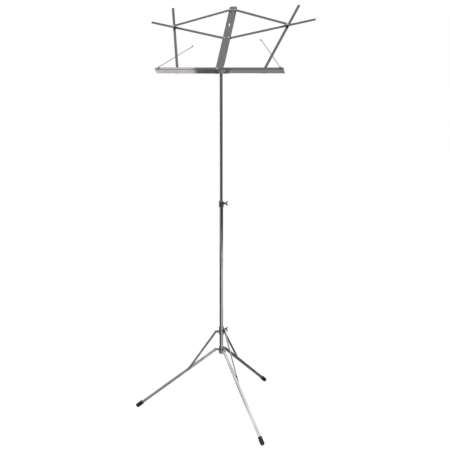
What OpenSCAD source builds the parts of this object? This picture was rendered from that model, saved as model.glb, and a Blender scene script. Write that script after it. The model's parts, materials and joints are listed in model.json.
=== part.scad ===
// Folding sheet-music stand: tripod base, two-part height tube and a folding bar desk.
// The origin is on the floor under the tube, +Z is up and the desk faces -Y.
// Desk pieces are drawn flat: X is across, Y is up the desk and Z is towards the reader.

/* [Tripod] */
// Height of the leg hinges above the floor
hub_h = 230; // [160:1:280]
// Distance of the leg hinges from the tube axis
hub_reach = 21; // [19:0.5:30]
// Slope of the open legs below level, in degrees
leg_slope = 37.7; // [28:0.1:50]
// Width of the leg channel
leg_w = 8; // [6:0.5:12]
// Depth of the leg channel
leg_h = 9.5; // [7:0.5:14]
// Sheet thickness of the leg channel
leg_wall = 1.2; // [0.8:0.1:2]
// Height of the brace hinges with the legs open
brace_h = 300; // [260:1:350]
// Distance of the brace hinges from the tube axis
brace_reach = 19; // [17:0.5:28]
// Distance from leg hinge to brace rivet along the leg
brace_seat = 128; // [90:1:160]
// Width of the flat brace
brace_w = 8; // [5:0.5:9]
// Thickness of the flat brace
brace_t = 2; // [1.5:0.1:3]
// Diameter of the rubber boots
boot_d = 15.5; // [12:0.5:20]
// Length of the straight part of a boot
boot_len = 22; // [15:1:40]
// Depth of the flat that each boot stands on
boot_flat = 0.4; // [0.2:0.1:1.5]
// Turn of the tripod about the tube, in degrees
tripod_turn = 75; // [0:1:119]

/* [Tubes] */
// Outer diameter of the lower tube
lower_d = 13.5; // [12:0.1:18]
// Height of the lower tube's top end
lower_top = 759; // [600:1:850]
// Wall of both tubes
tube_wall = 0.8; // [0.6:0.1:1.2]
// Outer diameter of the upper tube
upper_d = 10.2; // [8:0.1:11]
// Length of the upper tube
upper_len = 530; // [300:1:600]
// Length of the upper tube that stays inside the lower one
tube_overlap = 79; // [60:1:200]
// Length of the guide sleeve inside the lower tube
sleeve_len = 16; // [8:1:30]
// Length of the tilt head's stem inside the upper tube
stem_len = 30; // [15:1:60]

/* [Collars and screws] */
// Height of the leg collar
collar_h = 30; // [20:1:45]
// Wall of the leg collar, the hub and the height clutch
collar_wall = 2.4; // [1.6:0.1:4]
// Height of the hub ring
hub_ring_h = 24; // [16:1:36]
// Thickness of the flat ears on the leg collar
collar_ear_t = 2; // [1.5:0.1:3]
// Height of the height clutch
clutch_h = 22; // [14:1:36]
// Diameter of the wing screws
screw_d = 4; // [3:0.5:5]
// Reach of a wing screw beyond its boss
screw_reach = 10; // [6:0.5:16]
// Span of the wings
wing_span = 17; // [12:0.5:24]

/* [Tilt joint] */
// Lean of the desk back from upright, in degrees
desk_tilt = 35.7; // [5:0.1:60]
// Height of the tilt hinge above the upper tube
pivot_rise = 19; // [15:0.5:30]
// Distance from the spine's face back to the tilt hinge
pivot_back = 22; // [20:0.5:32]
// Distance from the desk's foot up to the tilt hinge
pivot_up = 15; // [12:0.5:25]
// Thickness of the tilt tongue
tongue_t = 4; // [3:0.5:6]
// Thickness of the tilt bracket's sheet
ear_t = 1.5; // [1:0.1:2.5]
// Length of the bracket's plate on the spine
bracket_len = 36; // [30:1:60]
// Diameter of the tilt bolt
bolt_d = 5; // [4:0.5:6]

/* [Desk] */
// Width of the spine
spine_w = 28; // [24:0.5:40]
// Lower end of the spine, measured up the desk
spine_low = 3; // [2:0.5:8]
// Upper end of the spine, measured up the desk
spine_high = 279; // [270:1:330]
// Depth of the spine's edges
spine_edge = 4; // [3:0.5:6]
// Sheet thickness of spine and ledge
sheet = 1.2; // [0.8:0.1:2]
// Sideways place of the upper arm hinges
top_x = 8; // [6:0.5:9]
// Place of the upper arm hinges up the spine
top_y = 262; // [240:1:270]
// Sideways place of the lower arm hinges
mid_x = 8; // [6:0.5:9]
// Place of the lower arm hinges up the spine
mid_y = 143; // [110:1:180]
// Sideways place of the joint where the arms and the side bar cross
cross_x = 210; // [190:1:230]
// Place of that joint up the desk
cross_y = 195; // [175:1:215]
// Sideways place of the side bar's hinge on the ledge
foot_x = 157; // [135:1:180]
// Sideways place of the ledge hinges
hinge_x = 9; // [8.5:0.5:11]
// Height of all hinges on the ledge above its shelf
hinge_y = 13; // [11:0.5:16]
// Width of the arms
bar_w = 8.4; // [6:0.1:10]
// Width of the side bars
side_w = 9.3; // [6:0.1:11]
// Thickness of the arms and side bars
bar_t = 1.6; // [1.2:0.1:2.2]
// Length of the lower arm beyond the crossing
arm_tail = 98; // [60:1:130]
// Length of the side bar beyond the crossing
side_tail = 95; // [60:1:130]

/* [Ledge and page holders] */
// Half of the ledge's width
ledge_half = 231; // [210:1:250]
// Depth of the ledge from back to front
ledge_depth = 25; // [22:1:40]
// Height of the ledge's front lip
lip_h = 3; // [3:0.5:8]
// Reach of the left half under the right one
lap = 46; // [30:1:70]
// Thickness of the page holder wires
wire_d = 2; // [1.5:0.1:3]
// Length of the page holder wires
wire_len = 143; // [100:1:180]
// Distance of the wires' posts from the ledge's ends
post_inset = 12; // [6:1:30]
// Slope of the left wire, in degrees
left_wire_slope = 39; // [10:1:80]
// Slope of the right wire, in degrees
right_wire_slope = 53; // [10:1:80]

/* [Colours] */
// Nickel-plated steel
nickel = "#A9A8A4";
// Darker pressed steel
steel = "#85858A";
// Black rubber and plastic
rubber = "#1B1B1C";

/* [Hidden] */
$fn = 48;
// radial clearance of a pin or shaft in its hole
fit = 0.05;
// clearance between pieces that slide past each other
slide_gap = 0.3;
// thickness, radius and shank radius of the rivets
head_t = 0.8;
head_r = 3;
rivet_r = 1.6;
// radius of the studs that the upper arms hook on
stud_r = 1.8;

// legs: the middle line runs from the hinge to the centre of the boot's round end
boot_r = boot_d / 2;
leg_len = (hub_h - boot_r + boot_flat) / sin(leg_slope);
leg_foot = leg_len - boot_len;
leg_end = leg_foot + boot_len / 2;
leg_r = leg_h / 2;
leg_turns = [0, 120, 240];
seat_r = hub_reach + brace_seat * cos(leg_slope);
seat_h = hub_h - brace_seat * sin(leg_slope);
brace_len = norm([seat_r - brace_reach, brace_h - seat_h]);
brace_slope = atan2(brace_h - seat_h, seat_r - brace_reach);
brace_in = leg_w / 2 + slide_gap;
brace_out = brace_in + brace_t;
ear_side = brace_out + slide_gap;
ear_r = brace_w / 2 + 1;

// tubes and collars
lower_r = lower_d / 2;
upper_r = upper_d / 2;
lower_bore = lower_r - tube_wall;
upper_bore = upper_r - tube_wall;
upper_low = lower_top - tube_overlap;
upper_top = upper_low + upper_len;
bead_h = 1.5;
sleeve_low = upper_low + bead_h + slide_gap / 2;
hub_low = hub_h - 13;
tube_low = hub_low + 2;
hub_r = lower_r + collar_wall;
hub_tongue_t = leg_w - 2 * leg_wall - 2 * slide_gap;
hub_tongue_r = leg_r - leg_wall;
plug_h = 10;
collar_bore = lower_r + 0.07;
collar_r = lower_r + collar_wall;
collar_low = brace_h - collar_h / 2 + 1.5;
collar_screw_h = brace_h + 7.5;
clutch_low = lower_top - 3;
clutch_r = lower_r + 0.75 * collar_wall;
clutch_screw_h = clutch_low + 0.6 * clutch_h;
screw_r = screw_d / 2;
boss_r = screw_r + 2;
boss_len = 5;
// the wing screws point half-way between the front leg and the rear leg
screw_turn = tripod_turn - 60;

// tilt hinge
pivot_h = upper_top + pivot_rise;
bolt_r = bolt_d / 2;
tongue_r = bolt_r + 4;
ear_in = tongue_t / 2 + 0.2;
ear_out = ear_in + ear_t;
shoulder_h = 10.5;
bracket_low = 6;
bracket_rivets_at = [bracket_low + 0.58 * bracket_len, bracket_low + 0.87 * bracket_len];
washer_t = 0.5;
nut_h = 6;
desk_y = -(pivot_back * cos(desk_tilt) + pivot_up * sin(desk_tilt));
desk_z = pivot_h - pivot_up * cos(desk_tilt) + pivot_back * sin(desk_tilt);

// desk layers, counted from the spine's face towards the reader
upper_z = head_t + 0.6;
lower_z = -spine_edge - 0.4 - bar_t;
side_z = lower_z - head_t - 0.5 - bar_t;
lug_z = side_z - slide_gap - sheet;
lip_z = lug_z + ledge_depth;
wire_z_left = lip_z + 1 + wire_d / 2;
wire_z_right = wire_z_left + wire_d + head_t + 0.6;

// desk hinges of the right-hand side
top_pin = [top_x, top_y];
mid_pin = [mid_x, mid_y];
cross = [cross_x, cross_y];
foot_pin = [foot_x, hinge_y];
ledge_pin = [hinge_x, hinge_y];
wire_pin = [ledge_half - post_inset, lip_h + 1];
upper_slope = atan2(cross_y - top_y, cross_x - top_x);
lower_slope = atan2(cross_y - mid_y, cross_x - mid_x);
side_slope = atan2(cross_y - hinge_y, cross_x - foot_x);
corner_r = 6;
flange_low = 24;
slot_y = (top_y + mid_y) / 2 - 5;
slot_w = 4;
slot_len = 14;
lug_r = bar_w / 2 + 0.55;
ledge_in = hinge_x - 4;
// the left half lies lower: it slips under the right half and clears its corner when that folds
corner_dip = norm([hinge_x - ledge_in, hinge_y + sheet]) - hinge_y - sheet;
lap_gap = corner_dip + 0.1;
left_drop = sheet + lap_gap;
eye_r = 1.6 * wire_d;
eye_gap = 0.1;
post_r = eye_r - wire_d / 2 - eye_gap;

// ---- helpers ----

// places a piece of the desk, drawn flat, in the tilted desk
module desk() {
    translate([0, desk_y, desk_z]) rotate([90 - desk_tilt, 0, 0]) children();
}

// a desk piece is drawn for the right-hand side; the left one is its mirror image
module on_side(side) {
    if (side == "left") mirror([1, 0, 0]) children();
    else children();
}

// turns a piece of one leg into its place; X runs outwards from the tube
module around(index) {
    rotate(tripod_turn + leg_turns[index]) children();
}

// the hinge of a leg, with Z along the pin
module at_leg_hinge() {
    translate([hub_reach, 0, hub_h]) rotate([90, 0, 0]) children();
}

// the hinge of a brace, with Z along the pin and away from the leg
module at_brace_hinge() {
    translate([brace_reach, 0, brace_h]) rotate([-90, 0, 0]) children();
}

module tube(r_out, r_in, z0, z1) {
    difference() {
        translate([0, 0, z0]) cylinder(r = r_out, h = z1 - z0);
        translate([0, 0, z0 - 1]) cylinder(r = r_in, h = z1 - z0 + 2);
    }
}

module disc(p, r, z0, z1) {
    translate([p[0], p[1], z0]) cylinder(r = r, h = z1 - z0);
}

// rivet shank from z0 to z1 with a head outside each end
module rivet(p, z0, z1) {
    disc(p, rivet_r, z0, z1);
    disc(p, head_r, z0 - head_t, z0);
    disc(p, head_r, z1, z1 + head_t);
}

// flat bar with round ends and a pressed groove in its face
module bar(p, slope, length, width, z0) {
    translate([p[0], p[1], z0]) rotate(slope) difference() {
        union() {
            translate([0, -width / 2, 0]) cube([length, width, bar_t]);
            cylinder(d = width, h = bar_t);
            translate([length, 0, 0]) cylinder(d = width, h = bar_t);
        }
        translate([width, -width / 6, bar_t * 0.7]) cube([length - 2 * width, width / 3, bar_t]);
    }
}

module bar_hole(p, z0) {
    disc(p, rivet_r + fit, z0 - 1, z0 + bar_t + 1);
}

// wing screw along X; the shank starts at x0 and the winged head at x1
module wing_screw(x0, x1) {
    rotate([0, 90, 0]) {
        translate([0, 0, x0]) cylinder(r = screw_r, h = x1 - x0 + 1);
        translate([0, 0, x1]) cylinder(r1 = boss_r - 0.2, r2 = boss_r - 1, h = 0.6 * screw_reach);
    }
    translate([x1, 0, 0]) rotate([90, 0, 0]) for (s = [-1, 1]) mirror([0, s < 0 ? 1 : 0, 0]) wing();
}

module wing() {
    tip = 0.3 * wing_span / 2;
    top = wing_span / 2 - tip;
    translate([0, 0, -0.9]) linear_extrude(1.8) {
        polygon([[1, 0], [1, boss_r - 1], [screw_reach - 2 * tip, top + 0.7 * tip],
            [screw_reach - 0.3 * tip, top - 0.7 * tip], [0.6 * screw_reach, 0]]);
        translate([screw_reach - tip, top]) circle(r = tip);
    }
}

// ---- tripod ----

module lower_tube() {
    color(nickel) tube(lower_r, lower_bore, tube_low, lower_top);
}

module hub() {
    color(nickel) difference() {
        union() {
            translate([0, 0, hub_low]) cylinder(r = hub_r, h = hub_ring_h);
            for (i = [0:2]) around(i) hub_tongue();
        }
        translate([0, 0, hub_low - 1]) cylinder(r = lower_r, h = hub_ring_h + 2);
        for (i = [0:2]) around(i) at_leg_hinge() cylinder(r = rivet_r + fit, h = leg_w, center = true);
    }
}

module hub_tongue() {
    translate([hub_r - 2, -hub_tongue_t / 2, hub_h - hub_tongue_r])
        cube([hub_reach - hub_r + 2, hub_tongue_t, 2 * hub_tongue_r]);
    at_leg_hinge() cylinder(r = hub_tongue_r, h = hub_tongue_t, center = true);
}

module hub_plug() {
    color(rubber) {
        translate([0, 0, hub_low - 3]) cylinder(r1 = lower_r - 1.5, r2 = lower_r, h = 3);
        translate([0, 0, hub_low]) cylinder(r = lower_r - fit, h = tube_low - hub_low);
        translate([0, 0, tube_low]) cylinder(r = lower_bore - fit, h = plug_h);
    }
}

module leg_pins() {
    color(steel) for (i = [0:2]) around(i) at_leg_hinge()
        rivet([0, 0], -leg_w / 2 - 0.1, leg_w / 2 + 0.1);
}

// channel open downwards; its web starts past the hinge, so that the leg can swing right up
module leg(index) {
    web = leg_r + 1;
    color(nickel) around(index) translate([hub_reach, 0, hub_h]) rotate([0, leg_slope, 0]) {
        for (y = [-leg_w / 2, leg_w / 2 - leg_wall]) translate([0, y, 0]) leg_side();
        translate([web, -leg_w / 2, leg_r - leg_wall]) cube([leg_end - web, leg_w, leg_wall]);
    }
}

module leg_side() {
    difference() {
        union() {
            rotate([-90, 0, 0]) cylinder(r = leg_r, h = leg_wall);
            translate([0, 0, -leg_r]) cube([leg_end, leg_wall, leg_h]);
        }
        translate([0, -1, 0]) rotate([-90, 0, 0]) cylinder(r = rivet_r + fit, h = leg_wall + 2);
    }
}

// rubber boot over the leg's end, with a round tip that is cut flat where it stands
module boot(index) {
    color(rubber) around(index) difference() {
        translate([hub_reach, 0, hub_h]) rotate([0, leg_slope, 0]) difference() {
            translate([leg_foot, 0, 0]) rotate([0, 90, 0]) rotate_extrude() boot_outline();
            translate([leg_foot - 1, -leg_w / 2, -leg_r]) cube([leg_end - leg_foot + 1, leg_w, leg_h]);
        }
        translate([0, -boot_d, -2 * boot_d]) cube([2 * leg_len, 2 * boot_d, 2 * boot_d]);
    }
}

// half of the boot's long section, from the mouth at 0 to the round tip
module boot_outline() {
    rim = 2;
    difference() {
        union() {
            square([boot_r, rim]);
            square([boot_r - 0.5, boot_len]);
            translate([0, rim + 1.5]) square([boot_r, boot_len - rim - 1.5]);
            translate([0, boot_len]) circle(r = boot_r);
        }
        translate([-2 * boot_r, -boot_len]) square([2 * boot_r, 3 * boot_len]);
    }
}

module collar() {
    color(nickel) difference() {
        union() {
            translate([0, 0, collar_low]) cylinder(r = collar_r, h = collar_h);
            for (i = [0:2]) around(i) collar_ear();
            rotate(screw_turn) translate([0, 0, collar_screw_h]) rotate([0, 90, 0])
                cylinder(r = boss_r, h = collar_r + boss_len);
        }
        translate([0, 0, collar_low - 1]) cylinder(r = collar_bore, h = collar_h + 2);
        rotate(screw_turn) translate([0, 0, collar_screw_h]) rotate([0, 90, 0])
            cylinder(r = screw_r + fit, h = collar_r + boss_len + 1);
        for (i = [0:2]) around(i) at_brace_hinge() cylinder(r = rivet_r + fit, h = 2 * ear_side);
    }
}

// flat ear beside the brace, folded out of the collar's wall
module collar_ear() {
    x0 = sqrt(pow(collar_r, 2) - pow(ear_side, 2)) - 1;
    translate([x0, ear_side, brace_h - ear_r]) cube([brace_reach - x0, collar_ear_t, 2 * ear_r]);
    at_brace_hinge() disc([0, 0], ear_r, ear_side, ear_side + collar_ear_t);
}

module brace_pins() {
    z1 = ear_side + collar_ear_t;
    color(steel) for (i = [0:2]) around(i) at_brace_hinge() {
        disc([0, 0], rivet_r, brace_in, z1);
        disc([0, 0], head_r, z1, z1 + head_t);
    }
}

// flat brace; the rivet at its lower end has no shank, so that leg and brace can part
module brace(index) {
    groove = brace_w / 4;
    color(nickel) around(index) at_brace_hinge() rotate(brace_slope)
        translate([0, 0, brace_in]) difference() {
            union() {
                cylinder(d = brace_w, h = brace_t);
                translate([0, -brace_w / 2, 0]) cube([brace_len, brace_w, brace_t]);
                disc([brace_len, 0], brace_w / 2, 0, brace_t);
                disc([brace_len, 0], head_r, brace_t, brace_t + head_t);
            }
            translate([0, 0, -1]) cylinder(r = rivet_r + fit, h = brace_t + 2);
            translate([brace_w, -groove / 2, 0.75 * brace_t])
                cube([brace_len - 2 * brace_w, groove, brace_t]);
        }
}

module collar_screw() {
    color(steel) rotate(screw_turn) translate([0, 0, collar_screw_h])
        wing_screw(lower_r + slide_gap, collar_r + boss_len + slide_gap);
}

// ---- height clutch and upper tube ----

module clutch() {
    taper = 2;
    color(nickel) difference() {
        union() {
            translate([0, 0, clutch_low]) cylinder(r = clutch_r, h = clutch_h - taper);
            translate([0, 0, clutch_low + clutch_h - taper])
                cylinder(r1 = clutch_r, r2 = clutch_r - 0.7 * taper, h = taper);
            translate([0, 0, clutch_low]) cylinder(r = clutch_r + 0.5, h = 1.2 * taper);
            rotate(screw_turn) translate([0, 0, clutch_screw_h]) rotate([0, 90, 0])
                cylinder(r = boss_r, h = clutch_r + boss_len);
        }
        translate([0, 0, clutch_low - 1]) cylinder(r = lower_r, h = lower_top - clutch_low + 1);
        translate([0, 0, clutch_low]) cylinder(r = upper_r + fit, h = clutch_h + 1);
        rotate(screw_turn) translate([0, 0, clutch_screw_h]) rotate([0, 90, 0])
            cylinder(r = screw_r + fit, h = clutch_r + boss_len + 1);
    }
}

module clutch_screw() {
    color(steel) rotate(screw_turn) translate([0, 0, clutch_screw_h])
        wing_screw(upper_r + slide_gap, clutch_r + boss_len + slide_gap);
}

// the two beads hold the sleeve and stop the tube at the clutch
module upper_tube() {
    above = sleeve_low + sleeve_len + slide_gap / 2;
    color(nickel) difference() {
        union() {
            translate([0, 0, upper_low]) cylinder(r = upper_r, h = upper_len);
            for (z = [upper_low, above]) translate([0, 0, z]) cylinder(r = upper_r + 0.4, h = bead_h);
        }
        translate([0, 0, upper_low - 1]) cylinder(r = upper_bore, h = upper_len + 2);
    }
}

module sleeve() {
    color(rubber) tube(lower_bore - fit, upper_r + fit, sleeve_low, sleeve_low + sleeve_len);
}

// ---- tilt joint ----

module tilt_head() {
    color(steel) difference() {
        union() {
            translate([0, 0, upper_top - stem_len]) cylinder(r = upper_bore - fit, h = stem_len);
            translate([0, 0, upper_top]) cylinder(r = upper_r, h = shoulder_h);
            translate([-tongue_t / 2, -upper_r, upper_top + shoulder_h - 1])
                cube([tongue_t, 2 * upper_r, pivot_rise - shoulder_h + 1]);
            translate([0, 0, pivot_h]) rotate([0, 90, 0])
                cylinder(r = tongue_r, h = tongue_t, center = true);
        }
        translate([0, 0, pivot_h]) rotate([0, 90, 0])
            cylinder(r = bolt_r + fit, h = 2 * tongue_t, center = true);
    }
}

module tilt_bracket() {
    color(steel) desk() difference() {
        union() {
            translate([-ear_out, bracket_low, -sheet - ear_t]) cube([2 * ear_out, bracket_len, ear_t]);
            for (x = [-ear_out, ear_in]) translate([x, 0, 0]) bracket_ear();
        }
        translate([0, pivot_up, -pivot_back]) rotate([0, 90, 0])
            cylinder(r = bolt_r + fit, h = 4 * ear_out, center = true);
        for (y = bracket_rivets_at) disc([0, y], rivet_r, -pivot_back, 0);
    }
}

module bracket_ear() {
    rotate([0, 90, 0]) linear_extrude(ear_t) {
        polygon([[sheet, bracket_low], [sheet, bracket_low + bracket_len],
            [pivot_back, pivot_up + tongue_r], [pivot_back, pivot_up - tongue_r]]);
        translate([pivot_back, pivot_up]) circle(r = tongue_r);
    }
}

module bracket_rivets() {
    small_r = ear_in - 0.1;
    color(nickel) desk() for (y = bracket_rivets_at) {
        disc([0, y], rivet_r, -sheet - ear_t, 0);
        disc([0, y], small_r, -sheet - ear_t - head_t, -sheet - ear_t);
        disc([0, y], head_r, 0, head_t);
    }
}

module tilt_bolt() {
    bolt_head = 4;
    x0 = -ear_out - washer_t - bolt_head;
    x1 = ear_out + washer_t + nut_h + slide_gap + 6;
    color(nickel) desk() translate([0, pivot_up, -pivot_back]) rotate([0, 90, 0]) {
        translate([0, 0, x0 + 1]) cylinder(r = bolt_r, h = x1 - x0 - 1);
        translate([0, 0, x0]) cylinder(r = bolt_r + 2, h = bolt_head, $fn = 6);
        for (z = [-ear_out - washer_t, ear_out]) translate([0, 0, z])
            cylinder(r = bolt_r + 2.6, h = washer_t);
    }
}

module tilt_nut() {
    x0 = ear_out + washer_t + slide_gap;
    color(nickel) desk() translate([x0, pivot_up, -pivot_back]) difference() {
        union() {
            rotate([0, 90, 0]) cylinder(r1 = bolt_r + 2.4, r2 = bolt_r + 1.6, h = nut_h);
            for (s = [-1, 1]) mirror([0, s < 0 ? 1 : 0, 0]) nut_wing();
        }
        rotate([0, 90, 0]) translate([0, 0, -1]) cylinder(r = bolt_r + fit, h = 2 * nut_h);
    }
}

module nut_wing() {
    root = bolt_r + 0.7;
    translate([0, 0, -1]) linear_extrude(2) {
        polygon([[0.5, root], [1, root + 1.4], [nut_h, root + 4.8], [nut_h + 3.5, root + 3.8],
            [nut_h, root]]);
        translate([nut_h + 2, root + 3.8]) circle(r = 2);
    }
}

// ---- desk ----

module spine_outline() {
    x = spine_w / 2;
    translate([-x, spine_low]) square([spine_w, spine_high - spine_low - corner_r]);
    translate([-x + corner_r, spine_high - 2 * corner_r])
        square([spine_w - 2 * corner_r, 2 * corner_r]);
    for (s = [-1, 1]) translate([s * (x - corner_r), spine_high - corner_r]) circle(r = corner_r);
}

// sheet channel with its long edges turned back
module spine() {
    flange = spine_high - 2 * corner_r - flange_low;
    color(steel) desk() difference() {
        union() {
            translate([0, 0, -sheet]) linear_extrude(sheet) spine_outline();
            for (x = [-spine_w / 2, spine_w / 2 - sheet]) translate([x, flange_low, -spine_edge])
                cube([sheet, flange, spine_edge]);
        }
        for (side = ["left", "right"]) on_side(side) for (p = [top_pin, mid_pin, ledge_pin])
            disc(p, rivet_r, -2 * sheet, sheet);
        for (y = bracket_rivets_at) disc([0, y], rivet_r, -2 * sheet, sheet);
        translate([-slot_w / 2, slot_y - slot_len / 2, -2 * sheet]) cube([slot_w, slot_len, 3 * sheet]);
    }
}

// the rivets of the arms and of the ledge, with the spacers that keep the layers apart
module spine_rivets() {
    color(nickel) desk() for (side = ["left", "right"]) on_side(side) {
        rivet(top_pin, -sheet, upper_z + bar_t + 0.05);
        disc(top_pin, head_r, 0, upper_z - 0.05);
        rivet(mid_pin, lower_z - 0.05, 0);
        disc(mid_pin, head_r, lower_z + bar_t + 0.05, -sheet);
        rivet(ledge_pin, lug_z - 0.05, 0);
        disc(ledge_pin, head_r, lug_z + sheet + 0.05, -sheet);
    }
}

// upper arm: hinged on the spine, hooked over the stud with its outer end
module upper_arm(side) {
    hook_r = bar_w / 2 + 1.2;
    slot = stud_r + 0.35;
    reach = 2 * hook_r;
    color(steel) desk() on_side(side) difference() {
        union() {
            bar(top_pin, upper_slope, norm(cross - top_pin), bar_w, upper_z);
            disc(cross, hook_r, upper_z, upper_z + bar_t);
        }
        bar_hole(top_pin, upper_z);
        translate([cross_x, cross_y, upper_z - 1]) linear_extrude(bar_t + 2) {
            circle(r = slot);
            for (a = [upper_slope, lower_slope]) rotate(a) translate([-slot, 0]) square([2 * slot, reach]);
            polygon([[0, 0], reach * [-sin(upper_slope), cos(upper_slope)],
                reach * [-sin(lower_slope), cos(lower_slope)]]);
        }
    }
}

module lower_arm(side) {
    length = norm(cross - mid_pin) + arm_tail - bar_w / 2;
    color(steel) desk() on_side(side) difference() {
        bar(mid_pin, lower_slope, length, bar_w, lower_z);
        bar_hole(mid_pin, lower_z);
        disc(cross, rivet_r, lower_z - 1, lower_z + bar_t + 1);
    }
}

// stud of the crossing joint: it is riveted to the lower arm and carries the upper arm's hook
module stud(side) {
    z0 = upper_z - 0.1;
    z1 = upper_z + bar_t + 0.2;
    color(nickel) desk() on_side(side) {
        disc(cross, rivet_r, lower_z, lower_z + bar_t);
        disc(cross, head_r, lower_z - head_t, lower_z);
        disc(cross, head_r, lower_z + bar_t, z0);
        disc(cross, stud_r, z0, z1);
        disc(cross, head_r + 0.5, z1, z1 + head_t);
    }
}

// side bar, hinged on the ledge; its crossing rivet has no shank, so that the desk can fold
module side_bar(side) {
    length = norm(cross - foot_pin) + side_tail - side_w / 2;
    color(steel) desk() on_side(side) {
        difference() {
            bar(foot_pin, side_slope, length, side_w, side_z);
            bar_hole(foot_pin, side_z);
        }
        disc(cross, head_r, side_z - head_t, side_z);
    }
}

// ---- ledge ----

// one half of the ledge: a shelf that starts at "inner" with a slanted edge, and a front lip
module half_ledge(inner, slant, drop) {
    translate([0, -drop, lug_z]) rotate([90, 0, 0]) linear_extrude(sheet)
        polygon([[inner - slant, sheet], [ledge_half, sheet], [ledge_half, ledge_depth],
            [inner + slant, ledge_depth]]);
    translate([ledge_in, -drop - sheet, lip_z - sheet])
        cube([ledge_half - ledge_in, lip_h + sheet + drop, sheet]);
    disc(wire_pin, lug_r, lip_z - sheet, lip_z);
}

module ledge_right() {
    color(nickel) desk() half_ledge(ledge_in, 0, 0);
}

// the left half reaches under the right one, so that the two keep each other level
module ledge_left() {
    color(nickel) desk() on_side("left") half_ledge(-lap, -9, left_drop);
}

// tab that is folded up from the shelf's back edge and holds one hinge
module ledge_lug(p, r, drop) {
    difference() {
        union() {
            translate([p[0] - r, -drop - sheet, lug_z]) cube([2 * r, p[1] + drop + sheet, sheet]);
            disc(p, r, lug_z, lug_z + sheet);
        }
        disc(p, rivet_r + fit, lug_z - 1, lug_z + sheet + 1);
    }
}

module ledge_lugs(side) {
    drop = side == "left" ? left_drop : 0;
    color(steel) desk() on_side(side) {
        ledge_lug(ledge_pin, lug_r, drop);
        ledge_lug(foot_pin, lug_r + 1, drop);
    }
}

module foot_rivet(side) {
    color(nickel) desk() on_side(side) rivet(foot_pin, lug_z - 0.05, side_z + bar_t + 0.05);
}

// ---- page holders ----

module wire_post(side) {
    wire_z = side == "left" ? wire_z_left : wire_z_right;
    z1 = wire_z + wire_d / 2 + 0.2;
    color(steel) desk() on_side(side) {
        disc(wire_pin, eye_r, lip_z, wire_z - wire_d / 2 - 0.2);
        disc(wire_pin, post_r, lip_z, z1);
        disc(wire_pin, eye_r + 0.2, z1, z1 + head_t);
    }
}

module wire(side) {
    wire_z = side == "left" ? wire_z_left : wire_z_right;
    slope = side == "left" ? left_wire_slope : right_wire_slope;
    color(nickel) desk() on_side(side) translate([wire_pin[0], wire_pin[1], wire_z])
        rotate(180 - slope) {
            rotate_extrude() translate([eye_r, 0]) circle(d = wire_d);
            translate([eye_r, 0, 0]) rotate([0, 90, 0]) cylinder(d = wire_d, h = wire_len - eye_r);
            translate([wire_len, 0, 0]) sphere(d = 1.6 * wire_d);
        }
}

lower_tube();
hub();
hub_plug();
leg_pins();
leg(0);  // leg_rear
leg(1);  // leg_left
leg(2);  // leg_front
boot(0);  // boot_rear
boot(1);  // boot_left
boot(2);  // boot_front
collar();
brace_pins();
brace(0);  // brace_rear
brace(1);  // brace_left
brace(2);  // brace_front
collar_screw();
clutch();
clutch_screw();
upper_tube();
sleeve();
tilt_head();
tilt_bracket();
bracket_rivets();
tilt_bolt();
tilt_nut();
spine();
spine_rivets();
upper_arm("left");  // upper_arm_left
upper_arm("right");  // upper_arm_right
lower_arm("left");  // lower_arm_left
lower_arm("right");  // lower_arm_right
stud("left");  // stud_left
stud("right");  // stud_right
side_bar("left");  // side_bar_left
side_bar("right");  // side_bar_right
ledge_left();
ledge_right();
ledge_lugs("left");  // ledge_lugs_left
ledge_lugs("right");  // ledge_lugs_right
foot_rivet("left");  // foot_rivet_left
foot_rivet("right");  // foot_rivet_right
wire_post("left");  // wire_post_left
wire_post("right");  // wire_post_right
wire("left");  // wire_left
wire("right");  // wire_right
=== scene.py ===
"""Folding sheet-music stand: the visible pieces, their finishes and the studio around them."""

import json
from math import atan2, cos, pi, radians, sin

import bmesh
import bpy
from bpy.props import FloatProperty, FloatVectorProperty, IntProperty, PointerProperty
from mathutils import Matrix, Vector


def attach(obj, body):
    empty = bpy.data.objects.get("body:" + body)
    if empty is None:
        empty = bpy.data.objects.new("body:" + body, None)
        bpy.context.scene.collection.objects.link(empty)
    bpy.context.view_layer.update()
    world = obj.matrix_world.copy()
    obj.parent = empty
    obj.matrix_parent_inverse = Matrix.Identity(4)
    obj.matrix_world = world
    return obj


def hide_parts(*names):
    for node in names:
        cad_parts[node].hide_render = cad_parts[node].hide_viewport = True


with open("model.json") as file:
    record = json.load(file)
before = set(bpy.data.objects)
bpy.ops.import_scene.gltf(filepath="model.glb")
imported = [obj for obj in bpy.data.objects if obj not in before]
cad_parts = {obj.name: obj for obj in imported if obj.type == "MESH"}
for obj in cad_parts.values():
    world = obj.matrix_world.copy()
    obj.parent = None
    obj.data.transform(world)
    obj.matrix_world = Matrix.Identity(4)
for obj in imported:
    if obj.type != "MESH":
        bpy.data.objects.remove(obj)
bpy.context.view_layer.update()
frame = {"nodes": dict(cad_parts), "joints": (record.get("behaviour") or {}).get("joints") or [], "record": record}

bl_info = {
    "name": "Folding music stand",
    "version": (1, 0, 0),
    "blender": (4, 5, 0),
    "location": "3D View > Sidebar > Music Stand",
    "description": "Builds the visible pieces of a folding sheet-music stand on its packed frame",
    "category": "Object",
}

MM = 0.001
ORIGIN = Matrix.Identity(4)
LEGS = ("rear", "left", "front")
SIDES = ("left", "right")

# Points closer than this are merged, in metres: in the solids made here, and in a CAD node's triangles.
SAME_POINT = 1e-7
SAME_CAD_POINT = 1e-6
# A turned profile touches its axis below this radius, in millimetres.
ON_AXIS = 1e-6

# Sizes that more than one piece shares, in millimetres.
EAR_THICK = 2.0  # thickness of the collar's ears
EAR_GAP = 0.3  # between a brace and the ear in front of it
RIVET_SHANK = 1.6  # radius of the rivets' shanks
SCREW_SEAT = 5.3  # from a wing screw's joint to the foot of its head


# ---- reading the frame ----

def joint(name):
    """The record of one joint."""
    return next(j for j in frame["joints"] if j["name"] == name)


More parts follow.
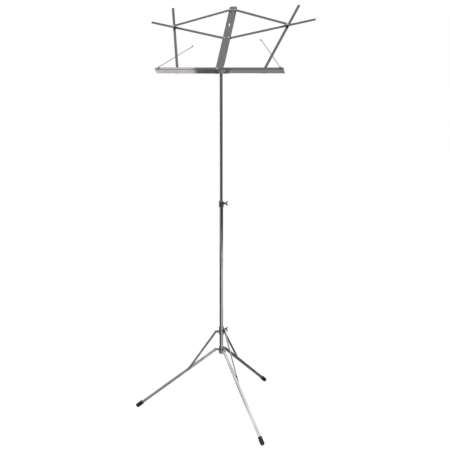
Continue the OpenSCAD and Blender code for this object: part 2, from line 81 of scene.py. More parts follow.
def joint_at(name):
    """The point of a joint, in metres."""
    return Vector(joint(name)["pos_m"])


def joint_axis(name):
    """The direction of a joint."""
    return Vector(joint(name)["axis"]).normalized()


def mount_at(name):
    """The point of a mount, in metres."""
    return Vector(next(m for m in frame["record"]["mounts"] if m["name"] == name)["pos_m"])


def placed(origin, x_axis, z_axis):
    """A right-handed local frame from its origin and its X and Z directions."""
    x = Vector(x_axis).normalized()
    y = Vector(z_axis).cross(x).normalized()
    z = x.cross(y)
    place = Matrix((x, y, z)).transposed().to_4x4()
    place.translation = origin
    return place


def reach(node, place):
    """Lowest and highest corner of a CAD node in a local frame, in millimetres."""
    inverse = place.inverted()
    points = [inverse @ v.co for v in frame["nodes"][node].data.vertices]
    low = Vector([min(p[i] for p in points) for i in range(3)]) / MM
    high = Vector([max(p[i] for p in points) for i in range(3)]) / MM
    return low, high


def local(point, place):
    """A point of the row frame in a local frame, in millimetres."""
    return (place.inverted() @ Vector(point)) / MM


def desk_frame():
    """X runs across the desk, Y up its face and Z towards the reader; Z is 0 on the spine's face."""
    place = placed(Vector((0, 0, 0)), (1, 0, 0), joint_axis("right_ledge_fold"))
    low, high = reach("spine", place)
    place.translation = place @ Vector((0, low.y * MM, high.z * MM))
    return place


DESK = desk_frame()


def leg_frame(name, sizes):
    """X runs down the leg from its hinge, Y across it and Z out of its closed face."""
    hinge = joint_at(f"{name}_leg_fold")
    tip = mount_at(f"foot_{name}") + Vector((0, 0, sizes.boot_diameter / 2 - sizes.boot_flat))
    down = tip - hinge
    across = joint_axis(f"{name}_leg_fold") * -1
    return placed(hinge, down, down.cross(across)), down.length / MM


def brace_frame(name, sizes):
    """X runs down the brace from its hinge and Z points away from the leg."""
    start = joint_at(f"{name}_brace_fold")
    leg = leg_frame(name, sizes)[0]
    end = leg @ Vector((sizes.brace_seat, 0, 0))
    return placed(start, end - start, joint_axis(f"{name}_brace_fold")), (end - start).length / MM


def ear_top(name, place, desk):
    """Upper face of a collar's ear, in the frame of the brace's hinge."""
    return reach(f"brace_{name}", place)[1].z - desk.head_height / MM + EAR_THICK + EAR_GAP


def screw_frame(name):
    """X runs out along a wing screw and Z points up."""
    return placed(joint_at(name), joint_axis(name), (0, 0, 1))


# ---- outlines and solids, in millimetres ----

def arc(cx, cy, r, start, end, steps=8):
    """Points on an arc, with its angles in degrees."""
    turns = [radians(start + (end - start) * i / steps) for i in range(steps + 1)]
    return [(cx + r * cos(a), cy + r * sin(a)) for a in turns]


def smooth_outline(points, steps=6):
    """A closed outline that runs smoothly through the points."""
    count = len(points)
    result = []
    for i in range(count):
        p0, p1, p2, p3 = (Vector(points[(i + k) % count]) for k in (-1, 0, 1, 2))
        for j in range(steps):
            t = j / steps
            result.append(tuple(0.5 * (2 * p1 + (p2 - p0) * t + (2 * p0 - 5 * p1 + 4 * p2 - p3) * t * t
                                       + (3 * p1 - p0 - 3 * p2 + p3) * t ** 3)))
    return result


def prism(outline, z0, z1):
    """An outline in X and Y, raised from z0 to z1."""
    n = len(outline)
    verts = [(x, y, z0) for x, y in outline] + [(x, y, z1) for x, y in outline]
    faces = [tuple(reversed(range(n))), tuple(range(n, 2 * n))]
    faces += [(i, (i + 1) % n, n + (i + 1) % n, n + i) for i in range(n)]
    return verts, faces


def rail(section, x0, x1):
    """A section in Y and Z, carried along X from x0 to x1."""
    verts, faces = prism(section, x0, x1)
    return [(z, x, y) for x, y, z in verts], faces


def lathe(profile, steps=48, closed=False):
    """A profile of (radius, height) points, turned about Z. A closed one makes a ring."""
    verts, rings = [], []
    for r, z in profile:
        if r < ON_AXIS:
            rings.append([len(verts)] * steps)
            verts.append((0, 0, z))
        else:
            rings.append([len(verts) + i for i in range(steps)])
            verts += [(r * cos(2 * pi * i / steps), r * sin(2 * pi * i / steps), z) for i in range(steps)]
    faces = []
    for a, b in zip(rings, rings[1:] + rings[:1] if closed else rings[1:]):
        for i in range(steps):
            j = (i + 1) % steps
            face = list(dict.fromkeys((a[i], a[j], b[j], b[i])))
            if len(face) > 2:
                faces.append(tuple(face))
    if not closed:
        faces += [tuple(ring) for ring in (rings[0], rings[-1]) if len(set(ring)) > 1]
    return verts, faces


def turned_groove(r, z, depth):
    """Points of a shallow turned groove round a given height."""
    mouth, bed = 0.8, 0.3
    return [(r, z - mouth), (r - depth, z - bed), (r - depth, z + bed), (r, z + mouth)]


def turned_ring(bore, r, z0, z1, edge, grooves=(), depth=0.35):
    """Profile of a ring with its two outer edges rounded and grooves at the given heights."""
    profile = [(bore, z0)] + arc(r - edge, z0 + edge, edge, -90, 0, 4)
    for z in grooves:
        profile += turned_groove(r, z, depth)
    return profile + arc(r - edge, z1 - edge, edge, 0, 90, 4) + [(bore, z1)]


def capsule(length, r, steps=10):
    """Outline of a bar with round ends; the first end is centred on the origin."""
    return arc(0, 0, r, 90, 270, steps) + arc(length, 0, r, -90, 90, steps)


def strips(rows, width, across):
    """Faces between rows of points that follow each other, each row with the same number of points."""
    faces = []
    for k in range(rows - 1):
        a, b = k * width, (k + 1) * width
        faces += [(a + i, a + (i + 1) % width, b + (i + 1) % width, b + i) for i in range(across)]
    return faces


def pressed_bar(length, width, thick, groove):
    """Flat bar with round ends and a pressed groove along the middle of its upper face."""
    half = width / 2
    groove_start = width * 1.2
    edge_share, bed_share = 0.5, 0.32
    ends = [-half * cos(radians(a)) for a in (25, 45, 65, 90)] + [width * 0.8, width * 1.25]
    stations = ends + [length - x for x in reversed(ends)]
    verts = []
    for x in stations:
        over = -x if x < 0 else max(0, x - length)
        hw = (half ** 2 - over ** 2) ** 0.5
        floor = thick - (groove if groove_start <= x <= length - groove_start else 0)
        section = [(-hw, 0), (hw, 0), (hw, thick), (edge_share * hw, thick), (bed_share * hw, floor),
                   (-bed_share * hw, floor), (-edge_share * hw, thick), (-hw, thick)]
        verts += [(x, y, z) for y, z in section]
    n = len(section)
    last = len(verts) - n
    faces = strips(len(stations), n, n)
    return verts, faces + [tuple(reversed(range(n))), tuple(range(last, last + n))]


class Shape:
    """Collects solids of one piece, each with its own place, in the row frame."""

    def __init__(self):
        self.verts, self.faces = [], []

    def add(self, solid, place=ORIGIN):
        """Adds a solid, given in millimetres, at its place."""
        verts, faces = solid
        start = len(self.verts)
        self.verts += [place @ (Vector(v) * MM) for v in verts]
        self.faces += [tuple(i + start for i in face) for face in faces]
        return self

    def moved(self, matrix):
        """The same solids, moved or mirrored."""
        copy = Shape()
        copy.verts = [matrix @ v for v in self.verts]
        copy.faces = self.faces
        return copy


def side_flip(side):
    """Mirrors what is drawn for the right-hand side of the desk when it is made for the left."""
    return Matrix.Scale(-1, 4, (1, 0, 0)) if side == "left" else Matrix.Identity(4)


# ---- pieces in general ----

def apply_modifiers(obj):
    """Turns an object with live modifiers into a plain mesh."""
    graph = bpy.context.evaluated_depsgraph_get()
    mesh = bpy.data.meshes.new_from_object(obj.evaluated_get(graph))
    obj.modifiers.clear()
    old = obj.data
    obj.data = mesh
    bpy.data.meshes.remove(old)
    mesh.name = obj.name


def cleaned(mesh):
    """Merges doubles and turns every face outwards."""
    bm = bmesh.new()
    bm.from_mesh(mesh)
    bmesh.ops.remove_doubles(bm, verts=bm.verts, dist=SAME_POINT)
    bmesh.ops.recalc_face_normals(bm, faces=bm.faces)
    bm.to_mesh(mesh)
    bm.free()


def new_object(name, data):
    """A new object of the scene, at the origin."""
    obj = bpy.data.objects.new(name, data)
    bpy.context.scene.collection.objects.link(obj)
    return obj


def join_into(obj, other):
    """Adds the mesh of another object to a piece, and removes that object."""
    bm = bmesh.new()
    bm.from_mesh(obj.data)
    bm.from_mesh(other.data)
    bm.to_mesh(obj.data)
    bm.free()
    bpy.data.objects.remove(other)


def smooth(mesh, angle=32):
    """Shades a mesh smooth, up to an angle in degrees."""
    mesh.polygons.foreach_set("use_smooth", [True] * len(mesh.polygons))
    mesh.set_sharp_from_angle(angle=radians(angle))


def round_edges(obj, width, segments=2, angle=40):
    """Rounds the sharp edges of a piece, as pressing or plating leaves them."""
    bevel = obj.modifiers.new("rounded edges", "BEVEL")
    bevel.width = width * MM
    bevel.segments = segments
    bevel.limit_method = "ANGLE"
    bevel.angle_limit = radians(angle)
    bevel.use_clamp_overlap = True
    apply_modifiers(obj)


def make_piece(name, shape, edge=0.0, segments=2):
    """A piece from the solids in a shape, with its faces outwards and its edges rounded."""
    mesh = bpy.data.meshes.new(name)
    mesh.from_pydata([tuple(v) for v in shape.verts], [], shape.faces)
    mesh.validate()
    cleaned(mesh)
    obj = new_object(name, mesh)
    if edge > 0:
        round_edges(obj, edge, segments)
    smooth(obj.data)
    return obj


def rounded_copy(name, node, edge):
    """A copy of a CAD node's mesh, merged, with its flat faces joined and its edges rounded."""
    still_flat = radians(0.6)
    mesh = frame["nodes"][node].data.copy()
    mesh.name = name
    bm = bmesh.new()
    bm.from_mesh(mesh)
    bmesh.ops.remove_doubles(bm, verts=bm.verts, dist=SAME_CAD_POINT)
    bmesh.ops.dissolve_limit(bm, angle_limit=still_flat, verts=bm.verts, edges=bm.edges)
    bm.to_mesh(mesh)
    bm.free()
    mesh.materials.clear()
    obj = new_object(name, mesh)
    round_edges(obj, edge, angle=35)
    smooth(obj.data)
    return obj


def carve(obj, solid, place):
    """Cuts a solid out of a piece."""
    cutter = make_piece(obj.name + "_cutter", Shape().add(solid, place))
    cut = obj.modifiers.new("cut", "BOOLEAN")
    cut.operation = "DIFFERENCE"
    cut.solver = "EXACT"
    cut.object = cutter
    apply_modifiers(obj)
    bpy.data.objects.remove(cutter)


def flatten_shading(obj):
    """Keeps the shading of broad faces flat beside their rounded edges."""
    normals = obj.modifiers.new("flat faces", "WEIGHTED_NORMAL")
    normals.weight = 100
    normals.keep_sharp = True
    apply_modifiers(obj)


def dress(obj, body, material, slot, *nodes):
    """Gives a piece its finish, its body and the CAD nodes that it stands for."""
    flatten_shading(obj)
    obj.data.materials.clear()
    obj.data.materials.append(material)
    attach(obj, body)
    if nodes:
        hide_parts(*nodes)
    return obj


def coat(node, material):
    """Gives a CAD node, which keeps its own shape, a detailed finish."""
    obj = frame["nodes"][node]
    if not obj.data.materials:
        obj.data.materials.append(material)
    for i in range(len(obj.data.materials)):
        obj.data.materials[i] = material


# ---- shader groups ----

def add_node(tree, kind, x, y, **values):
    """A new node at its place in a tree, with its settings."""
    node = tree.nodes.new(kind)
    node.location = (x, y)
    for key, value in values.items():
        setattr(node, key, value)
    return node


def shader_group(name, inputs, outputs):
    """An empty shader group with named inputs and outputs, and its two end nodes."""
    tree = bpy.data.node_groups.new(name, "ShaderNodeTree")
    for label, kind, value in inputs:
        socket = tree.interface.new_socket(name=label, in_out="INPUT", socket_type="NodeSocket" + kind)
        socket.default_value = value
    for label, kind in outputs:
        tree.interface.new_socket(name=label, in_out="OUTPUT", socket_type="NodeSocket" + kind)
    return tree, add_node(tree, "NodeGroupInput", -1100, 0), add_node(tree, "NodeGroupOutput", 700, 0)


def object_place(tree, x, y):
    """The place on the object, in metres."""
    return add_node(tree, "ShaderNodeTexCoord", x, y).outputs["Object"]


def math_node(tree, operation, x, y, *values, clamp=False):
    """The result of a sum, from numbers or from other nodes' outputs."""
    node = add_node(tree, "ShaderNodeMath", x, y, operation=operation, use_clamp=clamp)
    for socket, value in zip(node.inputs, values):
        if isinstance(value, (int, float)):
            socket.default_value = value
        else:
            tree.links.new(value, socket)
    return node.outputs[0]


def ramp(tree, x, y, value, low, high):
    """A value as a share of the way from low to high."""
    node = add_node(tree, "ShaderNodeMapRange", x, y)
    node.inputs["From Min"].default_value = low
    node.inputs["From Max"].default_value = high
    tree.links.new(value, node.inputs["Value"])
    return node.outputs[0]


def mix_colour(tree, x, y, factor, a, b, blend="MIX"):
    """One colour mixed with another."""
    node = add_node(tree, "ShaderNodeMix", x, y, data_type="RGBA", blend_type=blend)
    for socket, value in ((node.inputs[0], factor), (node.inputs[6], a), (node.inputs[7], b)):
        if isinstance(value, tuple):
            socket.default_value = (*value[:3], 1)
        else:
            tree.links.new(value, socket)
    return node.outputs[2]


def noise(tree, x, y, vector, scale, detail=4.0, rough=0.55):
    """Cloudy noise between 0 and 1."""
    node = add_node(tree, "ShaderNodeTexNoise", x, y)
    node.inputs["Detail"].default_value = detail
    node.inputs["Roughness"].default_value = rough
    if isinstance(scale, (int, float)):
        node.inputs["Scale"].default_value = scale
    else:
        tree.links.new(scale, node.inputs["Scale"])
    tree.links.new(vector, node.inputs["Vector"])
    return node.outputs["Fac"]


def plated_surface_group():
    """Colour, roughness and height of plating: clouded tone, drawn grain, fine pits and rubbed spots."""
    name = "Plated surface"
    if name in bpy.data.node_groups:
        return bpy.data.node_groups[name]
    tree, inp, out = shader_group(name, [
        ("Colour", "Color", (0.5, 0.5, 0.5, 1)),
        ("Tarnish Colour", "Color", (0.3, 0.28, 0.25, 1)),
        ("Tarnish", "Float", 0.3),
        ("Roughness", "Float", 0.25),
        ("Grain Direction", "Vector", (1, 1, 0.04)),
        ("Grain Scale", "Float", 900.0),
        ("Grain", "Float", 0.5),
    ], [("Colour", "Color"), ("Roughness", "Float"), ("Height", "Float")])
    link = tree.links.new
    place = object_place(tree, -1100, 400)
    stretched = add_node(tree, "ShaderNodeVectorMath", -850, 300, operation="MULTIPLY")
    link(place, stretched.inputs[0])
    link(inp.outputs["Grain Direction"], stretched.inputs[1])
    # a drawn grain of about 1 mm, clouds of 4 cm, spots of 6 mm and pits of 0.4 mm
    grain = noise(tree, -620, 300, stretched.outputs[0], inp.outputs["Grain Scale"], 6.0, 0.7)
    clouded = ramp(tree, -400, 80, noise(tree, -620, 80, place, 22.0, 5.0, 0.6), 0.42, 0.72)
    spotted = ramp(tree, -400, -140, noise(tree, -620, -140, place, 160.0, 3.0, 0.75), 0.58, 0.72)
    pits = noise(tree, -620, -360, place, 2600.0, 2.0, 0.5)

    both = math_node(tree, "MAXIMUM", -200, 20, clouded, spotted)
    amount = math_node(tree, "MULTIPLY", -20, 20, both, inp.outputs["Tarnish"], clamp=True)
    tone = mix_colour(tree, 180, 160, amount, inp.outputs["Colour"], inp.outputs["Tarnish Colour"])
    streak = math_node(tree, "MULTIPLY_ADD", -200, 380, grain, 0.22, 0.89)
    link(mix_colour(tree, 400, 200, inp.outputs["Grain"], tone, streak, "MULTIPLY"), out.inputs["Colour"])

    grain_rough = math_node(tree, "SUBTRACT", -400, -300, grain, 0.5)
    grain_rough = math_node(tree, "MULTIPLY", -200, -200, grain_rough, 0.25)
    rough = math_node(tree, "ADD", 0, -200, inp.outputs["Roughness"], grain_rough)
    tarnish_rough = math_node(tree, "MULTIPLY", 0, -380, amount, 0.22)
    rough = math_node(tree, "ADD", 200, -200, rough, tarnish_rough, clamp=True)
    link(rough, out.inputs["Roughness"])

    fine = math_node(tree, "MULTIPLY", 0, -560, pits, 0.35)
    coarse = math_node(tree, "MULTIPLY", 0, -700, grain, inp.outputs["Grain"])
    link(math_node(tree, "ADD", 200, -560, coarse, fine), out.inputs["Height"])
    return tree


def dust_group():
    """Lays a thin, uneven film of dust on faces that look up."""
    name = "Settled dust"
    if name in bpy.data.node_groups:
        return bpy.data.node_groups[name]
    tree, inp, out = shader_group(name, [
        ("Colour", "Color", (0.5, 0.5, 0.5, 1)),
        ("Roughness", "Float", 0.3),
        ("Dust Colour", "Color", (0.55, 0.53, 0.5, 1)),
        ("Amount", "Float", 0.2),
    ], [("Colour", "Color"), ("Roughness", "Float"), ("Bare", "Float")])
    link = tree.links.new
    split = add_node(tree, "ShaderNodeSeparateXYZ", -700, 300)
    link(add_node(tree, "ShaderNodeNewGeometry", -900, 300).outputs["Normal"], split.inputs[0])
    facing = ramp(tree, -500, 300, split.outputs["Z"], 0.25, 0.95)
    place = object_place(tree, -900, 560)
    patches = ramp(tree, -500, 560, noise(tree, -700, 560, place, 90.0, 6.0, 0.65), 0.35, 0.7)
    film = math_node(tree, "MULTIPLY", -300, 400, facing, patches)
    film = math_node(tree, "MULTIPLY", -100, 300, film, inp.outputs["Amount"], clamp=True)
    tone = mix_colour(tree, 200, 100, film, inp.outputs["Colour"], inp.outputs["Dust Colour"])
    link(tone, out.inputs["Colour"])
    dull = math_node(tree, "MULTIPLY", 0, -150, film, 0.6)
    rough = math_node(tree, "ADD", 200, -150, inp.outputs["Roughness"], dull, clamp=True)
    link(rough, out.inputs["Roughness"])
    link(math_node(tree, "SUBTRACT", 200, -300, 1.0, film, clamp=True), out.inputs["Bare"])
    return tree


# ---- finishes ----

def principled(tree):
    """The Principled shader of a material's tree."""
    return next(n for n in tree.nodes if n.type == "BSDF_PRINCIPLED")


def new_material(name):
    """A new material, with its tree and its shader."""
    material = bpy.data.materials.new(name)
    material.use_nodes = True
    return material, material.node_tree, principled(material.node_tree)


def add_relief(tree, shader, height, strength, depth):
    """A fine relief from a height, with its depth in metres."""
    relief = add_node(tree, "ShaderNodeBump", -250, -200)
    relief.inputs["Strength"].default_value = strength
    relief.inputs["Distance"].default_value = depth
    tree.links.new(height, relief.inputs["Height"])
    tree.links.new(relief.outputs["Normal"], shader.inputs["Normal"])


def plating(name, colour, tarnish_colour, tarnish, roughness, direction, grain, dust):
    """Nickel-plated steel."""
    if name in bpy.data.materials:
        return bpy.data.materials[name]
    material, tree, shader = new_material(name)
    link = tree.links.new
    surface = add_node(tree, "ShaderNodeGroup", -700, 200)
    surface.node_tree = plated_surface_group()
    for label, value in (("Colour", (*colour, 1)), ("Tarnish Colour", (*tarnish_colour, 1)),
                         ("Tarnish", tarnish), ("Roughness", roughness),
                         ("Grain Direction", direction), ("Grain", grain)):
        surface.inputs[label].default_value = value
    film = add_node(tree, "ShaderNodeGroup", -400, 200)
    film.node_tree = dust_group()
    film.inputs["Amount"].default_value = dust
    for label in ("Colour", "Roughness"):
        link(surface.outputs[label], film.inputs[label])
    link(film.outputs["Colour"], shader.inputs["Base Color"])
    link(film.outputs["Roughness"], shader.inputs["Roughness"])
    link(film.outputs["Bare"], shader.inputs["Metallic"])
    add_relief(tree, shader, surface.outputs["Height"], 0.06, 0.0002)
    return material


def moulded(name, colour, roughness, fine_scale, dust):
    """Black rubber or nylon, with a moulded grain and paler rubbed places."""
    if name in bpy.data.materials:
        return bpy.data.materials[name]
    material, tree, shader = new_material(name)
    link = tree.links.new
    place = object_place(tree, -1100, 0)
    rubbed = ramp(tree, -650, 200, noise(tree, -880, 200, place, 140.0, 5.0, 0.7), 0.5, 0.75)
    pale = tuple(min(1.0, c * 2.6 + 0.012) for c in colour)
    film = add_node(tree, "ShaderNodeGroup", -200, 200)
    film.node_tree = dust_group()
    film.inputs["Amount"].default_value = dust
    film.inputs["Roughness"].default_value = roughness
    link(mix_colour(tree, -420, 200, rubbed, colour, pale), film.inputs["Colour"])
    link(film.outputs["Colour"], shader.inputs["Base Color"])
    link(film.outputs["Roughness"], shader.inputs["Roughness"])
    add_relief(tree, shader, noise(tree, -500, -200, place, fine_scale, 3.0, 0.6), 0.25, 0.0003)
    return material


def lip_painted_reflection(material, colour):
    """Paints a dark reflection on the outer face of the ledge's lip, from the middle to the right, in the tone of
    the bars.
    """
    reflection_from, reflection_full = -0.095, -0.075  # across the desk, in metres
    behind, in_front = 0.8 * MM, 0.3 * MM  # how far behind the lip's face the painted reflection starts and is full
    tree = material.node_tree
    shader = principled(tree)
    bare = shader.inputs["Base Color"].links[0].from_socket
    outwards = DESK.col[2].xyz
    face = reach("ledge_right", DESK)[1].z * MM + DESK.translation.dot(outwards)
    place = object_place(tree, -700, 500)
    along = add_node(tree, "ShaderNodeVectorMath", -520, 500, operation="DOT_PRODUCT")
    along.inputs[1].default_value = outwards
    tree.links.new(place, along.inputs[0])
    across = add_node(tree, "ShaderNodeSeparateXYZ", -520, 700)
    tree.links.new(place, across.inputs[0])
    on_face = ramp(tree, -340, 500, along.outputs["Value"], face - behind, face - in_front)
    on_right = ramp(tree, -340, 700, across.outputs["X"], reflection_from, reflection_full)
    # painted reflection: the face of the one plated sheet is darkened from the middle to the right
    painted_reflection = math_node(tree, "MULTIPLY", -160, 600, on_face, on_right)
    tree.links.new(mix_colour(tree, -160, 400, painted_reflection, bare, colour), shader.inputs["Base Color"])
    return material


def finishes():
    """Every finish of the stand, by a name for where it is used."""
    look = bpy.context.scene.music_stand_finish
    up, across, even = (1.0, 1.0, 0.03), (0.03, 1.0, 1.0), (1.0, 1.0, 1.0)

    def steel(name, colour, roughness, direction, grain, wear=1.0):
        return plating(name, tuple(colour), tuple(look.tarnish_colour), look.wear * wear, roughness,
                       direction, grain, look.dust)

    ledge = bpy.data.materials.get("bright_ledge_nickel")
    if ledge is None:
        # the ledge's lip carries a painted dark reflection in the bars' tone
        ledge = lip_painted_reflection(steel("bright_ledge_nickel", look.ledge_colour, 0.06, across, 0.15, 0.6),
                          tuple(look.bar_colour))
    return {
        "tube_plating": steel("bright_tube_nickel", look.tube_colour, 0.16, up, 0.5),
        "upper_tube": steel("dark_tube_nickel", look.upper_tube_colour, 0.34, up, 0.5),
        "leg_plating": steel("leg_nickel", look.leg_colour, 0.28, even, 0.4),
        "brace_plating": steel("brace_nickel", look.brace_colour, 0.28, even, 0.4),
        "collar_plating": steel("collar_nickel", look.collar_colour, 0.24, even, 0.4),
        "desk_plating": steel("satin_spine_nickel", look.desk_colour, 0.36, even, 0.5),
        "bar_plating": steel("satin_bar_nickel", look.bar_colour, 0.32, across, 0.5),
        "ledge_plating": ledge,
        "rivet_plating": steel("rivet_nickel", look.rivet_colour, 0.2, even, 0.2, 0.6),
        "screw_steel": steel("dark_screw_steel", look.screw_colour, 0.34, even, 0.4),
        "wire_steel": steel("spring_wire", look.wire_colour, 0.22, even, 0.3, 0.5),
        "boot_rubber": moulded("black_rubber", tuple(look.rubber_colour), 0.62, 1500.0, look.dust * 0.25),
        "bush_plastic": moulded("black_nylon", tuple(look.nylon_colour), 0.45, 2200.0, look.dust * 0.4),
    }


# ---- geometry nodes ----

def geometry_tree(name, *inputs):
    """An empty geometry tree with named inputs, a Material input after them, and its two end nodes."""
    tree = bpy.data.node_groups.new(name, "GeometryNodeTree")
    for label, kind, value in (("Geometry", "Geometry", None), *inputs, ("Material", "Material", None)):
        socket = tree.interface.new_socket(name=label, in_out="INPUT", socket_type="NodeSocket" + kind)
        if value is not None:
            socket.default_value = value
    tree.interface.new_socket(name="Geometry", in_out="OUTPUT", socket_type="NodeSocketGeometry")
    return tree, add_node(tree, "NodeGroupInput", -1200, 0), add_node(tree, "NodeGroupOutput", 900, 0)


def end_tree(tree, geometry, inp, out):
    """Ends a geometry tree in Realize Instances and Set Material."""
    real = add_node(tree, "GeometryNodeRealizeInstances", 400, 0)
    finish = add_node(tree, "GeometryNodeSetMaterial", 620, 0)
    tree.links.new(geometry, real.inputs[0])
    tree.links.new(real.outputs[0], finish.inputs["Geometry"])
    tree.links.new(inp.outputs["Material"], finish.inputs["Material"])
    tree.links.new(finish.outputs[0], out.inputs[0])
    return tree


def point_value(tree, y, name, kind):
    """A value kept on the points."""
    node = add_node(tree, "GeometryNodeInputNamedAttribute", -500, y, data_type=kind)
    node.inputs["Name"].default_value = name
    return node.outputs["Attribute"]


def rivet_tree():
    """Sets a domed head or a plain shank on each point, along the point's own axis."""
    name = "Rivets on points"
    if name in bpy.data.node_groups:
        return bpy.data.node_groups[name]
    tree, inp, out = geometry_tree(name, ("Sides", "Int", 28), ("Lip Height", "Float", 0.3))
    link = tree.links.new
    # head: a flattened dome on a low lip, one unit in radius and one unit high
    dome = add_node(tree, "GeometryNodeMeshUVSphere", -900, 400)
    dome.inputs["Rings"].default_value = 12
    link(inp.outputs["Sides"], dome.inputs["Segments"])
    dome_place = add_node(tree, "GeometryNodeTransform", -650, 400)
    dome_place.inputs["Scale"].default_value = (0.97, 0.97, 1.0)
    link(dome.outputs["Mesh"], dome_place.inputs["Geometry"])
    rim = add_node(tree, "GeometryNodeMeshCylinder", -900, 150)
    rim.inputs["Radius"].default_value = 1.0
    link(inp.outputs["Sides"], rim.inputs["Vertices"])
    link(inp.outputs["Lip Height"], rim.inputs["Depth"])
    lift = add_node(tree, "ShaderNodeCombineXYZ", -700, -50)
    link(math_node(tree, "MULTIPLY", -900, -50, inp.outputs["Lip Height"], 0.5), lift.inputs["Z"])
    rim_place = add_node(tree, "GeometryNodeTransform", -500, 150)
    link(rim.outputs["Mesh"], rim_place.inputs["Geometry"])
    link(lift.outputs[0], rim_place.inputs["Translation"])
    head = add_node(tree, "GeometryNodeJoinGeometry", -300, 300)
    link(dome_place.outputs[0], head.inputs[0])
    link(rim_place.outputs[0], head.inputs[0])
    shank = add_node(tree, "GeometryNodeMeshCylinder", -500, -250)
    link(inp.outputs["Sides"], shank.inputs["Vertices"])
    shank.inputs["Radius"].default_value = 1.0
    shank.inputs["Depth"].default_value = 1.0
    is_head = point_value(tree, -800, "is_head", "BOOLEAN")
    size = point_value(tree, -650, "size", "FLOAT_VECTOR")
    turn = add_node(tree, "FunctionNodeAlignRotationToVector", -300, -500, axis="Z")
    link(point_value(tree, -500, "axis", "FLOAT_VECTOR"), turn.inputs["Vector"])
    is_shank = add_node(tree, "FunctionNodeBooleanMath", -300, -800, operation="NOT")
    link(is_head, is_shank.inputs[0])
    joined = add_node(tree, "GeometryNodeJoinGeometry", 200, 0)
    for source, chosen, y in ((head.outputs[0], is_head, 250),
                              (shank.outputs["Mesh"], is_shank.outputs[0], -150)):
        put = add_node(tree, "GeometryNodeInstanceOnPoints", 0, y)
        link(inp.outputs["Geometry"], put.inputs["Points"])
        link(chosen, put.inputs["Selection"])
        link(source, put.inputs["Instance"])
        link(turn.outputs[0], put.inputs["Rotation"])
        link(size, put.inputs["Scale"])
        link(put.outputs[0], joined.inputs[0])
    return end_tree(tree, joined.outputs[0], inp, out)


def wire_tree():
    """Draws a round wire along a route of edges."""
    name = "Wire along route"
    if name in bpy.data.node_groups:
        return bpy.data.node_groups[name]
    tree, inp, out = geometry_tree(name, ("Wire Radius", "Float", MM), ("Sides", "Int", 16))
    link = tree.links.new
    route = add_node(tree, "GeometryNodeMeshToCurve", -450, 100)
    link(inp.outputs["Geometry"], route.inputs["Mesh"])
    ring = add_node(tree, "GeometryNodeCurvePrimitiveCircle", -450, -150)
    link(inp.outputs["Sides"], ring.inputs["Resolution"])
    link(inp.outputs["Wire Radius"], ring.inputs["Radius"])
    tube = add_node(tree, "GeometryNodeCurveToMesh", -200, 0)
    tube.inputs["Fill Caps"].default_value = True
    link(route.outputs[0], tube.inputs["Curve"])
    link(ring.outputs[0], tube.inputs["Profile Curve"])
    return end_tree(tree, tube.outputs[0], inp, out)


def rib_tree():
    """Repeats a ring along the X axis of a local frame, as moulded ribs."""
    name = "Ribs in a row"
    if name in bpy.data.node_groups:
        return bpy.data.node_groups[name]
    tree, inp, out = geometry_tree(name, ("Count", "Int", 3), ("Spacing", "Float", 3 * MM),
                                   ("Ring Radius", "Float", 7 * MM), ("Rib Radius", "Float", 0.6 * MM))
    link = tree.links.new
    step = add_node(tree, "ShaderNodeCombineXYZ", -650, -250)
    link(inp.outputs["Spacing"], step.inputs["X"])
    row = add_node(tree, "GeometryNodeMeshLine", -400, -200)
    link(inp.outputs["Count"], row.inputs["Count"])
    link(step.outputs[0], row.inputs["Offset"])
    ring = add_node(tree, "GeometryNodeCurvePrimitiveCircle", -650, 200)
    ring.inputs["Resolution"].default_value = 40
    link(inp.outputs["Ring Radius"], ring.inputs["Radius"])
    upright = add_node(tree, "GeometryNodeTransform", -400, 200)
    upright.inputs["Rotation"].default_value = (0, pi / 2, 0)
    link(ring.outputs[0], upright.inputs["Geometry"])
    section = add_node(tree, "GeometryNodeCurvePrimitiveCircle", -400, 0)
    section.inputs["Resolution"].default_value = 10
    link(inp.outputs["Rib Radius"], section.inputs["Radius"])
    rib = add_node(tree, "GeometryNodeCurveToMesh", -150, 150)
    link(upright.outputs[0], rib.inputs["Curve"])
    link(section.outputs[0], rib.inputs["Profile Curve"])
    put = add_node(tree, "GeometryNodeInstanceOnPoints", 100, 0)
    link(row.outputs[0], put.inputs["Points"])
    link(rib.outputs[0], put.inputs["Instance"])
    both = add_node(tree, "GeometryNodeJoinGeometry", 250, 0)
    link(inp.outputs["Geometry"], both.inputs[0])
    link(put.outputs[0], both.inputs[0])
    return end_tree(tree, both.outputs[0], inp, out)


def run_tree(obj, tree, **values):
    """Runs a geometry tree on an object with the given inputs and keeps its plain mesh."""
    modifier = obj.modifiers.new(tree.name, "NODES")
    modifier.node_group = tree
    sockets = {item.name: item.identifier for item in tree.interface.items_tree
               if item.item_type == "SOCKET" and item.in_out == "INPUT"}
    for label, value in values.items():
        modifier[sockets[label.replace("_", " ")]] = value
    apply_modifiers(obj)
    cleaned(obj.data)
    smooth(obj.data, 40)


